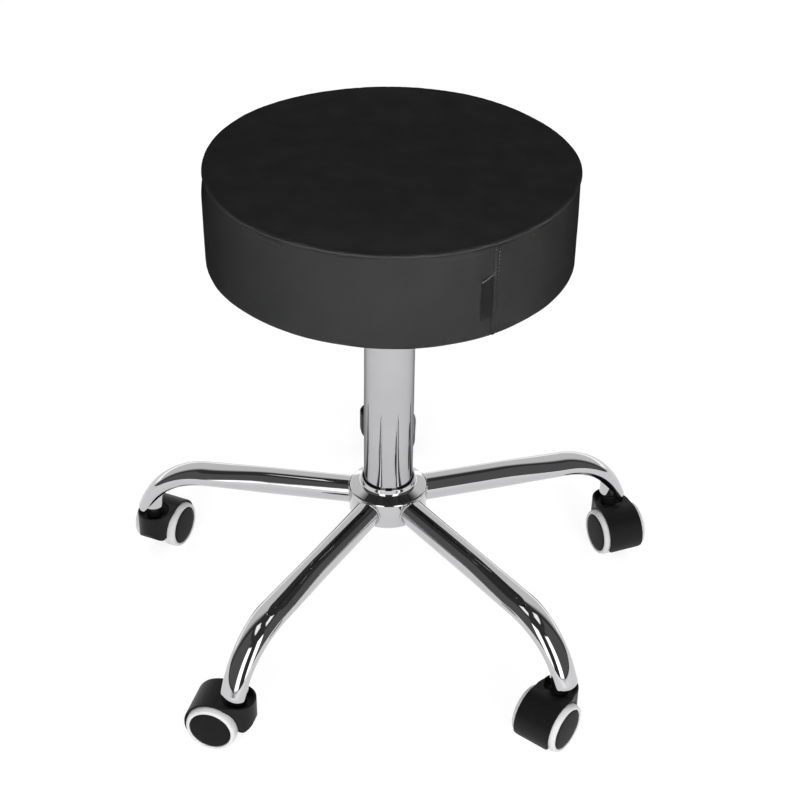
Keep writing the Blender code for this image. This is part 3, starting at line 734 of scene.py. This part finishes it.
def make_label(filling):
    """A blank folded ribbon caught in the side panel's seam."""
    width = 0.0145
    low = SEAT_BOTTOM + 0.0216
    high = SEAT_BOTTOM + 0.0606
    thick = 0.0007
    columns = 14
    rows = 24
    shape = bmesh.new()
    grid = {}
    for side in (0, 1):
        for i in range(columns + 1):
            across = i / columns
            angle = SEAM_ANGLE - across * width / SEAT_RADIUS
            lift = 0.0006 + 0.0036 * sin(pi / 2 * across) ** 1.6
            for j in range(rows + 1):
                up = j / rows
                height = low + (high - low) * up - 0.003 * across * (0.6 + 0.4 * up)
                surface = shaped(spot(angle, RIM - OVERHANG, height), filling)
                curl = 0.0004 * sin(3 * pi * up) * across
                grid[side, i, j] = shape.verts.new(surface + spot(angle, lift + curl + thick * side))
    for side in (0, 1):
        for i in range(columns):
            for j in range(rows):
                corners = (i, j), (i + 1, j), (i + 1, j + 1), (i, j + 1)
                shape.faces.new([grid[side, a, b] for a, b in corners])
    rim = [(i, 0) for i in range(columns)] + [(columns, j) for j in range(rows)]
    rim += [(columns - i, rows - j) for i, j in rim]
    for a, b in zip(rim, rim[1:] + rim[:1]):
        shape.faces.new([grid[0, *a], grid[0, *b], grid[1, *b], grid[1, *a]])
    edge = [grid[1, i, rows].co.copy() + Vector((0, 0, 0.0002)) for i in range(columns + 1)]
    mesh = mesh_from(shape, 50)
    binding = mesh_from(tube(None, edge, 0.00035, 8))
    piece("seat_label_binding", binding, "steel", "seat")
    piece("seat_label", mesh, "label", "seat")


def make_underside():
    """The dust cloth stapled over the hem, its edge turned in and slack between the staples."""
    low, _, radius = round_box("dust_cloth")
    staples = 30
    around = 240
    rings = []
    profile = [(0.0, 0.0), (0.02, 0.0), (0.05, 0.0), (0.08, 0.0), (0.1, 0.1), (0.12, 0.35), (0.14, 0.35),
               (radius - 0.012, 0.15), (radius - 0.006, 0.0), (radius - 0.0015, 0.35), (radius - 0.0003, 0.2)]
    for reach, sag in profile:
        ring = []
        for angle in circle(around if reach else 1):
            between = 0.5 - 0.5 * cos(staples * angle)
            scalloped = reach - 0.0012 * between * (reach / radius) ** 12
            crumple = 1 + 0.4 * noise.noise(Vector((reach * 30, angle * 3, 0)))
            fold = 0.0006 * sag * (0.4 + between) * crumple
            ring.append(spot(angle, scalloped, low + 0.0004 - fold))
        rings.append(ring)
    mesh = thickened(mesh_from(loft(rings), 80), 0.0005, 0)
    cloth = piece("seat_dust_cloth", mesh, "nonwoven", "seat", replaces=("dust_cloth",))
    shape = bmesh.new()
    rise = Vector((0, 0, 0.0006))
    for i, angle in enumerate(circle(staples)):
        angle += 0.02 * sin(7 * i)
        middle = spot(angle, radius - 0.006, low - 0.0001)
        along = spot(angle + pi / 2 + 0.25 * sin(5 * i))
        path = [middle - along * 0.0052 + rise, middle - along * 0.0048, middle + along * 0.0048,
                middle + along * 0.0052 + rise]
        tube(shape, smooth_path(path, 0.0004, 3), 0.00035, 8)
    piece("seat_staples", mesh_from(shape), "steel", "seat")


def make_seat():
    filling = make_filling()
    make_cover(filling)
    make_stitching(filling)
    make_label(filling)
    make_underside()
    dress("plywood", "seat_board")


# The seat's mechanism

def make_bolt(low, high):
    """A flanged hexagon bolt with a washer face."""
    head_top = low + 0.0038
    flange = lathe(rounded([
        (0, high), (0.003, high, 0.0004), (0.003, head_top + 0.0013), (0.0068, head_top + 0.0013, 0.0003),
        (0.0068, head_top + 0.0005, 0.0003), (0.0046, head_top - 0.0002), (0, head_top - 0.0002),
    ]), 48)
    rings = []
    # Height, size, and for a ring that isn't a hexagon its share of that size
    for height, size, share in ((head_top, 0.0052, None), (low + 0.0006, 0.0052, None),
                                (low + 0.0001, 0.0047, 0.94), (low, 0.0044, 0.94), (low, 0.002, 1.0),
                                (low + 0.0004, 0.0016, 1.0), (low + 0.0004, 0.0, 1.0)):
        ring = []
        for angle in circle(48 if size else 1):
            side = abs(remainder(angle, pi / 3))
            hexagon = cos(pi / 6) / cos(min(side, pi / 6))
            ring.append(spot(angle, size * (share or hexagon), height))
        rings.append(ring)
    return joined([flange, loft(rings)], 30)


def make_lever():
    """A bent rod and the flat grip pressed over its end."""
    pivot = Vector(JOINTS["lever_lift"]["pos_m"]) - COLUMN
    line = [Vector((x, 0, pivot.z - drop)) for x, drop in (
        (0.02, 0.0), (0.05, 0.0), (0.06, 0.0015), (0.086, 0.0121), (0.095, 0.0136), (0.15, 0.0156))]
    bar = tube(None, smooth_path(line, 0.012, 10), 0.004, 32)
    upper = [(0, 0.004), (0.0042, 0.004), (0.0048, 0.0034)]
    foot = lathe(upper + [(radius, -height) for radius, height in reversed(upper)], 48)
    foot.transform(Matrix.LocRotScale(Vector((0.0135, 0, pivot.z)), None, Vector((3.2, 1, 1))))
    detailed("lever_rod", joined([bar, foot]), "steel", "lever")

    start, end = line[-2:]
    along = (end - start).normalized()
    wide_axis = Vector((0, 1, 0))
    up = along.cross(wide_axis).normalized()
    length = (end - start).length + 0.004
    mouth = 0.1
    nose = 0.86
    rings = []
    for t in [0.0, *shares(40)]:
        if t < mouth:
            swell = max((t / mouth) ** 0.5, 0.02)
            wide = 0.0062 + 0.0029 * swell
            thick = 0.0052 + 0.0007 * swell
        else:
            swell = max(sqrt(max(0.0, 1 - (max(0.0, t - nose) / (1 - nose)) ** 2)), 0.02)
            wide = (0.0088 + 0.0032 * t) * swell
            thick = (0.006 - 0.0012 * t) * swell
        ring = []
        for angle in circle(48):
            c, s = cos(angle), sin(angle)
            square = (abs(c) ** 3 + abs(s) ** 3) ** (-1 / 3)
            dimple = 0.0007 * exp(-((t - 0.62) / 0.2) ** 2 - (c / 0.45) ** 2) if s < 0 else 0.0
            ring.append(start + along * (length * t) + wide_axis * wide * c * square
                        + up * (thick * s * square + dimple))
        rings.append(ring)
    shape = loft(rings, ends=True)
    half = 0.0058
    for step in range(5):
        reach = 0.22 + 0.07 * step
        middle = start + along * (length * reach) - up * (0.006 - 0.0012 * reach)
        path = [middle + wide_axis * (half * k / 4) + up * (0.0012 * (k / 4) ** 4) for k in range(-4, 5)]
        tube(shape, path, [0.0002, 0.00045, *[0.0006] * 5, 0.00045, 0.0002], 10)
    detailed("lever_grip", mesh_from(shape, 50), "grip", "lever")


def make_mechanism():
    dress("powder_coat", "seat_plate", "retaining_clip", "release_button")
    dress("steel", "lever_pivot_pin", "piston_rod", "thrust_bearing")
    for index in range(1, 5):
        node = "seat_bolt_%d" % index
        low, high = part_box(node)
        middle = (low + high) / 2
        detailed(node, make_bolt(low.z, high.z), "steel", "seat", Matrix.Translation((middle.x, middle.y, 0)))
    make_lever()


# The column

def make_column():
    outer, top, low = TUBE_RADIUS, TUBE_TOP, TUBE_BOTTOM
    foot = outer - 0.001
    column = turned([
        (outer - 0.002, top - 0.02), (outer - 0.002, top, 0.0006), (outer, top, 0.0012),
        (outer, HUB_TOP - 0.002, 0.004), (foot, low, 0.0012), (0.005, low, 0.0005), (0.005, low + 0.003),
        (foot - 0.003, low + 0.003),
    ], steps=160)
    piece("column_tube", column, "column", "base", replaces=("gas_spring_tube",))
    low, high, radius = round_box("gas_cylinder")
    inner = radius + 0.00025
    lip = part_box("guide_bush")[1].z
    bush = turned([
        (inner, lip - 0.03), (inner, lip - 0.0006, 0.0006), (inner + 0.0008, lip - 0.0002, 0.0004),
        (inner + 0.0035, lip - 0.0004, 0.0006), (inner + 0.0042, lip, 0.0005),
        (outer - 0.0006, lip, 0.0009), (outer - 0.0006, top + 0.0001, 0.0003),
        (outer - 0.0021, top + 0.0001, 0.0002), (outer - 0.0021, lip - 0.03),
    ], steps=128)
    piece("column_bush", bush, "grip", "base", replaces=("guide_bush",))
    spring = turned([
        (0.0033, high - 0.008), (0.0033, high, 0.0003), (radius - 0.0009, high, 0.0012),
        (radius, high - 0.036, 0.003), (radius, low, 0.0012), (0.00525, low, 0.0004),
        (0.00525, low + 0.018),
    ], steps=128)
    detailed("gas_cylinder", spring, "chrome", "seat")


# The base

ARM_HEIGHT = 0.1264  # of the arm's centre line where it meets the hub
ARM_SLOPE = radians(4.4)
ARM_RADIUS = 0.014
ARM_WALL = 0.0018
BEND_START = 0.2
BEND_RADIUS = 0.079
BEND_END = radians(66)
TIP_SLANT = radians(48)  # of the cut under the tip
SLEEVE_RADIUS = 0.0108
SLEEVE_BOTTOM = 0.0595
STEM_BORE = 0.0058


def arm_sections():
    """The arm's sections: outer and inner points as (distance, height), and half their width."""
    round_until = 0.125
    wide = 0.0158
    flat = 0.0116
    narrowing = 0.0024
    thinning = 0.003
    sections = []

    def add(reach, height, slope, half_width, half_thickness):
        normal = Vector((sin(slope), cos(slope))) * half_thickness
        middle = Vector((reach, height))
        sections.append((middle + normal, middle - normal, half_width))

    start = HUB_RADIUS - 0.004
    for t in [0.0, *shares(44)]:
        reach = start + (BEND_START - start) * t
        height = ARM_HEIGHT - (reach - HUB_RADIUS) * tan(ARM_SLOPE)
        share = eased((reach - round_until) / (BEND_START - round_until))
        add(reach, height, ARM_SLOPE, ARM_RADIUS + (wide - ARM_RADIUS) * share,
            ARM_RADIUS + (flat - ARM_RADIUS) * share)
    for t in shares(44):
        slope = ARM_SLOPE + (BEND_END - ARM_SLOPE) * t
        out = BEND_START + BEND_RADIUS * (sin(slope) - sin(ARM_SLOPE))
        down = height - BEND_RADIUS * (cos(ARM_SLOPE) - cos(slope))
        add(out, down, slope, wide - narrowing * eased(t), flat - thinning * eased(t))
    for t in shares(4):
        step = 0.0087 * t
        add(out + step * cos(BEND_END), down - step * sin(BEND_END), BEND_END,
            wide - narrowing, flat - thinning)
    nose = 0.006
    outer, inner, half_width = sections[-1]
    centre = outer - (outer - inner).normalized() * nose
    begin = pi / 2 - BEND_END
    for t in shares(16):
        turn = begin - (begin + pi / 2) * t
        edge = centre + nose * Vector((cos(turn), sin(turn)))
        sections.append((edge, inner, half_width * (0.55 + 0.45 * cos(pi / 2 * t))))
    return sections


def make_arm_mesh():
    """The bent and flattened tube, its underside cut away at the tip."""
    rings = []
    sections = arm_sections()
    for outer, inner, half_width in sections:
        middle = (outer + inner) / 2
        reach = (outer - inner) / 2
        ring = []
        for angle in circle(72):
            place = middle + reach * sin(angle)
            ring.append((place.x, half_width * cos(angle), place.y))
        rings.append(ring)
    mesh = thickened(mesh_from(loft(rings), 180), ARM_WALL, -1)
    tip = Vector((sections[-1][0].x + 0.0005, 0, sections[-1][0].y))
    underside = mesh_from(block((0.067, 0.06, 0.05), (-0.0135, 0.0, -0.025)))
    underside = placed(underside, Matrix.Translation(tip) @ Matrix.Rotation(TIP_SLANT, 4, "Y"))
    return smooth(combined(mesh, ("DIFFERENCE", underside)), 40)


def make_sleeve_mesh():
    """The round sleeve welded in the tip, which takes the caster's stem, and its spring ring."""
    body = lathe(rounded([
        (STEM_BORE, SLEEVE_BOTTOM + 0.02), (STEM_BORE, SLEEVE_BOTTOM, 0.0008),
        (SLEEVE_RADIUS, SLEEVE_BOTTOM, 0.0032), (SLEEVE_RADIUS, SLEEVE_BOTTOM + 0.02),
    ], 6), 96)
    ring = lathe(rounded([
        (STEM_BORE + 0.0002, SLEEVE_BOTTOM - 0.0003), (STEM_BORE + 0.0022, SLEEVE_BOTTOM - 0.0003, 0.0004),
        (STEM_BORE + 0.0022, SLEEVE_BOTTOM + 0.0006, 0.0004), (STEM_BORE + 0.0002, SLEEVE_BOTTOM + 0.0006),
    ], 3), 64, loop=True)
    for vertex in body.verts:
        if vertex.co.z > SLEEVE_BOTTOM + 0.015 and vertex.co.xy.length > STEM_BORE + 0.001:
            vertex.co.z = SLEEVE_BOTTOM + 0.009 + (SLEEVE_RADIUS - vertex.co.x) * tan(TIP_SLANT)
    return joined([body, ring])


def make_weld_mesh():
    """The bead where an arm meets the hub."""
    count = 120
    path = []
    for angle in circle(count):
        y = ARM_RADIUS * cos(angle)
        x = sqrt(HUB_RADIUS ** 2 - y ** 2)
        path.append(Vector((x, y, ARM_HEIGHT - (x - HUB_RADIUS) * tan(ARM_SLOPE) + ARM_RADIUS * sin(angle))))
    rings = []
    for i in range(count):
        along = (path[(i + 1) % count] - path[i - 1]).normalized()
        away = Vector((path[i].x, path[i].y, 0)).normalized()
        side = away.cross(along).normalized()
        size = 0.00095 * (1 + 0.1 * sin(26 * 2 * pi * i / count))
        rings.append([path[i] + size * (away * cos(a) + side * sin(a)) for a in circle(10)])
    return mesh_from(loft(rings, loop=True), 60)


def make_base():
    top, low = HUB_TOP, HUB_BOTTOM
    shoulder = top - 0.011
    collar = 0.028
    bore = TUBE_RADIUS + 0.0003
    hub = turned([
        (bore, low + 0.002), (bore, top - 0.003, 0.001), (TUBE_RADIUS + 0.0012, top - 0.0002, 0.0006),
        (collar - 0.0004, top, 0.0012), (collar, shoulder + 0.005, 0.0026),
        (HUB_RADIUS - 0.0006, shoulder, 0.0016), (HUB_RADIUS, low, 0.0022), (bore + 0.0004, low, 0.0008),
        (bore, low + 0.002),
    ], steps=180, segments=6)
    detailed("hub", hub, "chrome", "base")
    arm = make_arm_mesh()
    sleeve = make_sleeve_mesh()
    weld = make_weld_mesh()
    for name in CASTERS:
        node = "arm_" + name
        turn = Matrix.Translation(COLUMN) @ Matrix.Rotation(angle_of(stem_place(name) - COLUMN), 4, "Z")
        piece(node + "_tube", arm, "chrome", "base", turn, (node,))
        piece(node + "_weld", weld, "chrome", "base", turn)
        piece(node + "_sleeve", sleeve, "chrome", "base", turn @ Matrix.Translation((STEM_CIRCLE, 0, 0)))


# The casters

HOOD_RADIUS = 0.0278
HOOD_HALF_WIDTH = 0.0196
HOOD_TOP = 0.0525
NECK_RADIUS = 0.0178
WEB = 0.0072  # half the thickness of the wall between the wheels
CAP_FACE = 0.02515  # from the middle of the caster to a wheel's outer face
CAP_INNER = 0.0076  # and to its inner one


def around_axle():
    """Turns a shape made about Z so that it lies about the axle, behind the stem."""
    return Matrix.Translation((TRAIL, 0, WHEEL_RADIUS)) @ Matrix.Rotation(-pi / 2, 4, "X")


def hood_side():
    """The hood's outline from the side, as (distance behind the stem, height)."""
    tail_low = 0.013
    front_low = 0.0205
    corner = 0.012
    tail = degrees(asin((tail_low - WHEEL_RADIUS) / HOOD_RADIUS))
    brow = 180 - degrees(asin((HOOD_TOP - WHEEL_RADIUS) / HOOD_RADIUS))
    outline = arc((TRAIL, WHEEL_RADIUS), HOOD_RADIUS, tail, brow, 60)
    outline += [(-NECK_RADIUS, HOOD_TOP)]
    outline += arc((corner - NECK_RADIUS, front_low + corner), corner, 180, 270, 16)
    outline += [(0.0, front_low - 0.001), (0.008, 0.017)]
    return outline + [(TRAIL + 0.014, 0.017), (TRAIL + 0.018, tail_low)]


def corner_cutter(y_side, start, end, low, radius):
    """What rounds the hood's lower edge on one side, between two distances behind the stem."""
    side = HOOD_HALF_WIDTH + 0.0004
    outline = arc((side - radius, low + radius), radius, -90, 0, 16)
    outline += [(side + 0.003, low + radius), (side + 0.003, low - 0.01), (side - radius, low - 0.01)]
    shape = prism([(y_side * y, z) for y, z in outline], start, end)
    shape.transform(Matrix(((0, 0, 1, 0), (1, 0, 0, 0), (0, 1, 0, 0), (0, 0, 0, 1))))
    return shape


def make_hood_mesh():
    """One moulding: a web between the wheels, a fender over them and a round neck for the stem."""
    reach = 0.05
    well = WHEEL_RADIUS + 0.0008
    roof = well + 0.0012
    recess_floor = 0.0455
    side = prism(hood_side(), -reach, reach)
    side.transform(Matrix.Rotation(pi / 2, 4, "X"))
    plan = arc((0, 0), NECK_RADIUS, 90, 270, 48)
    plan += [(x, y * HOOD_HALF_WIDTH) for x, y in ((0.008, -1), (0.06, -1), (0.06, 1), (0.008, 1))]
    inner_roof = placed(cylinder(roof, -reach, reach, 120), around_axle())
    recess = combined(cylinder(0.0158, recess_floor, 0.07), ("DIFFERENCE", inner_roof))
    well_shape = cylinder(well, WEB, reach, 120)
    corners = []
    for y_side in (-1, 1):
        corners.append(("DIFFERENCE", corner_cutter(y_side, -0.03, 0.009, 0.0172, 0.0155)))
        corners.append(("DIFFERENCE", corner_cutter(y_side, TRAIL + 0.011, 0.06, 0.0125, 0.006)))
    mesh = combined(
        side,
        ("INTERSECT", prism(plan, -0.01, 0.09)),
        *corners,
        ("DIFFERENCE", recess),
        ("UNION", cylinder(0.0078, recess_floor - 0.002, STEM_TOP - 0.0135, 48)),
        ("DIFFERENCE", placed(well_shape, around_axle())),
        ("DIFFERENCE", placed(well_shape, around_axle() @ Matrix.Rotation(pi, 4, "X"))),
        ("DIFFERENCE", cylinder(STEM_BORE, STEM_BOTTOM - 0.0003, 0.07, 48)),
    )
    item = linked("scratch", mesh)
    remesh = item.modifiers.new("even", "REMESH")
    remesh.mode = "VOXEL"
    remesh.voxel_size = 0.00045
    soften = item.modifiers.new("soften", "SMOOTH")
    soften.factor = 0.5
    soften.iterations = 9
    mesh = finished(item)
    mesh.shade_smooth()
    return mesh


def make_core_mesh():
    """The wheel's moulding: closed cap outside, hub and ribs inside."""
    face = CAP_FACE
    inner = CAP_INNER
    hub = 0.0072
    rim = 0.0205
    parts = [lathe(rounded([
        (0, face), (0.006, face - 0.00005), (0.015, face - 0.0003, 0.002), (0.0185, face - 0.0006, 0.001),
        (rim, face - 0.0011, 0.0012), (rim, inner + 0.0012, 0.0006), (rim - 0.002, inner + 0.0012, 0.0004),
        (rim - 0.002, face - 0.0056, 0.0008), (hub, face - 0.0056, 0.0008), (hub, inner, 0.0004),
        (0.00325, inner, 0.0003), (0.00325, face - 0.002), (0, face - 0.002),
    ], 5), 128)]
    for angle in circle(8):
        rib = block((rim - hub, 0.0011, 0.0095), (0, 0, 0))
        bmesh.ops.bevel(rib, geom=rib.edges[:], offset=0.0002, segments=2, affect="EDGES")
        out = Matrix.Translation(((rim + hub) / 2 - 0.0006, 0, inner + 0.0062))
        rib.transform(Matrix.Rotation(angle, 4, "Z") @ out)
        parts.append(rib)
    return joined(parts)


def make_tread_mesh():
    """The soft tyre, rounded on both shoulders, with a moulding line round the middle."""
    high = CAP_FACE - 0.0005
    low = CAP_INNER + 0.0008
    inner = 0.0206
    middle = (high + low) / 2
    return turned([
        (inner, high - 0.0012), (inner + 0.0004, high - 0.0002, 0.0003), (inner + 0.0016, high, 0.001),
        (WHEEL_RADIUS - 0.001, high - 0.0008, 0.0022), (WHEEL_RADIUS - 0.00005, high - 0.004, 0.0022),
        (WHEEL_RADIUS, middle + 0.0005, 0.0004), (WHEEL_RADIUS + 0.0001, middle, 0.0003),
        (WHEEL_RADIUS, middle - 0.0005, 0.0004), (WHEEL_RADIUS - 0.00005, low + 0.003, 0.002),
        (WHEEL_RADIUS - 0.0014, low + 0.0002, 0.002), (inner + 0.0004, low, 0.0003), (inner, low + 0.0012),
    ], steps=144, loop=True, segments=6)


def make_stem_mesh():
    radius = 0.0055
    flange = 0.0078
    collar = STEM_TOP - 0.0108
    return turned([
        (0, STEM_TOP), (radius, STEM_TOP, 0.0012), (radius, collar, 0.0003), (flange, collar, 0.0006),
        (flange, collar - 0.0022, 0.0006), (radius, collar - 0.0022, 0.0003), (radius, STEM_BOTTOM, 0.0012),
        (0, STEM_BOTTOM),
    ], steps=64)


def make_casters():
    hood = make_hood_mesh()
    core = make_core_mesh()
    tread = make_tread_mesh()
    stem = make_stem_mesh()
    axle = turned([(0, 0.0235), (0.003, 0.0235, 0.0006), (0.003, -0.0235, 0.0006), (0, -0.0235)], 48)
    for name in CASTERS:
        place = Matrix.Translation(stem_place(name))
        turn = place @ Matrix.Rotation(angle_of(axle_place(name) - stem_place(name)), 4, "Z")
        detailed(name + "_stem", stem, "steel", "base", place)
        detailed(name + "_hood", hood, "hood", name + "_caster", turn)
        detailed(name + "_axle", axle, "steel", name + "_caster", turn @ around_axle())
        for side in "ab":
            axis = Vector(JOINTS[name + "_spin_" + side]["axis"])
            low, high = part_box(name + "_core_" + side)
            facing = axis if ((low + high) / 2 - axle_place(name)).dot(axis) > 0 else -axis
            wheel = Matrix.Translation(axle_place(name)) @ facing.to_track_quat("Z", "Y").to_matrix().to_4x4()
            body = name + "_wheel_" + side
            piece(name + "_cap_" + side, core, "cap", body, wheel, (name + "_core_" + side,))
            piece(name + "_tyre_" + side, tread, "tread", body, wheel, (name + "_tread_" + side,))


# The studio

LENS = 76.25
CAMERA_PLACE = Vector((-0.0882, -1.3932, 1.1887))  # from the column's foot
YAW, PITCH, ROLL = radians(-4.07), radians(34.07), radians(0.88)

CEILING = 1.2  # how bright the white room is overhead
HORIZON = 0.04  # and level with the floor
WALL = 0.86  # how bright the pale wall behind the stool is in reflections
WALL_SIDES = (0.22, 0.5)  # where it fades in, from the side to the back
WALL_TOP = (0.93, 0.87)  # where it fades out, upwards
DARK = 0.05
# azimuth, half its width, lower and upper edge in degrees, strength
LAMPS = (
    (154.0, 11.0, 1.0, 50.0, 2.8),
    (110.0, 30.0, 67.0, 79.0, 1.6),
    (14.0, 5.0, 70.0, 77.0, 2.2),
    (112.0, 30.0, 2.0, 58.0, 0.08),
    (0.0, 62.0, 0.0, 8.0, 0.9),
)
EDGE = 1.5  # how softly a lamp's edge fades, in degrees


def make_camera():
    """A camera at the product view: in front, a little to the left, looking down."""
    data = bpy.data.cameras.new("camera")
    data.lens = LENS
    data.sensor_width = 36
    data.clip_end = 20
    camera = linked("camera", data)
    ahead = Vector((-sin(YAW) * cos(PITCH), cos(YAW) * cos(PITCH), -sin(PITCH)))
    level = ahead.cross(Vector((0, 0, 1))).normalized()
    right = cos(ROLL) * level + sin(ROLL) * level.cross(ahead)
    matrix = Matrix((right, right.cross(ahead), -ahead)).transposed().to_4x4()
    matrix.translation = COLUMN + CAMERA_PLACE
    camera.matrix_world = matrix
    bpy.context.scene.camera = camera


def make_floor():
    shape = bmesh.new()
    bmesh.ops.create_grid(shape, x_segments=2, y_segments=2, size=30)
    s = Surface("floor", (0.3, 0.3, 0.3), 0.9, Specular_IOR_Level=0.1, Emission_Color=(1, 1, 1, 1),
                Emission_Strength=0.78)
    s.colours(s.noise(3.0), (0.3, 0.295), (0.7, 0.305))
    floor = linked("floor", mesh_from(shape))
    floor.data.materials.append(s.material)
    floor.location.z = -0.0003


def make_light(name, place, target, size, power, spread=180):
    """A soft light. Its own reflection is left out, because the world holds the lamps that gloss shows."""
    data = bpy.data.lights.new(name, "AREA")
    data.shape = "RECTANGLE"
    data.size, data.size_y = size
    data.energy = power
    data.spread = radians(spread)
    light = linked(name, data)
    light.location = place
    light.rotation_euler = (Vector(target) - Vector(place)).to_track_quat("-Z", "Y").to_euler()
    light.visible_glossy = False


def make_world():
    """A white room lit from above, and for reflections a studio.

    The studio has a pale wall behind the stool, lamps in front of it and darkness to the sides.
    """
    world = bpy.data.worlds.new("studio")
    bpy.context.scene.world = world
    world.use_nodes = True
    w = Nodes(world.node_tree)

    def between(source, start, end):
        """Rises from 0 to 1 as the source goes from start to end."""
        return w.ramp(source, 0.0, 1.0, start, end, interpolation_type="SMOOTHSTEP")

    def above(elevation, edge):
        return between(height, sin(radians(elevation - edge)), sin(radians(elevation + edge)))

    def lamp(azimuth, half, low, high, strength):
        """A pair of square lamps, one on each side. Azimuth 0 is behind the stool."""
        across = w.maths("ABSOLUTE", w.maths("SUBTRACT", azimuth_of, azimuth), 0.0)
        inside = between(across, half + EDGE, half - EDGE)
        return w.maths("MULTIPLY", inside, above(low, EDGE), above(high, -EDGE), strength)

    x, y, height = w.node("SeparateXYZ", {0: w.node("TexCoord").outputs["Generated"]}).outputs
    turn = w.maths("ABSOLUTE", w.maths("ARCTAN2", x, y), 0.0)
    azimuth_of = w.maths("MULTIPLY", turn, degrees(1.0))
    wall = w.maths("MULTIPLY", between(y, *WALL_SIDES), between(height, *WALL_TOP), WALL)
    glow = w.maths("ADD", wall, *[lamp(*sizes) for sizes in LAMPS], DARK)
    studio = w.node("Background", {"Strength": glow}, Color=(1.0, 0.985, 0.97, 1))
    path = w.node("LightPath").outputs
    lit = w.maths("ADD", w.maths("MULTIPLY", height, height, CEILING), HORIZON)
    seen = w.maths("MAXIMUM", lit, path["Is Camera Ray"])
    room = w.node("Background", {"Strength": seen}, Color=(1, 1, 1, 1))
    mix = w.node("MixShader", {0: path["Is Glossy Ray"], 1: room.outputs[0], 2: studio.outputs[0]})
    w.tree.links.new(mix.outputs[0], w.tree.nodes["World Output"].inputs["Surface"])


def make_studio():
    bpy.context.scene.view_settings.view_transform = "Standard"
    make_world()
    make_floor()
    make_camera()
    middle = (0, 0, 0.3)
    seat = (0, 0, 0.47)
    for side in (-1, 1):
        make_light("front_lamp", (1.2 * side, -2.7, 1.1), middle, (1.2, 1.2), 56)
    make_light("seat_lamp", (-0.08, -2.9, 0.47), seat, (0.5, 0.2), 2.9, 12)
    make_light("back_lamp", (0.3, 2.9, 0.6), seat, (0.5, 0.2), 1.6, 12)


make_seat()
make_mechanism()
make_column()
make_base()
make_casters()
make_studio()

bpy.context.view_layer.update()
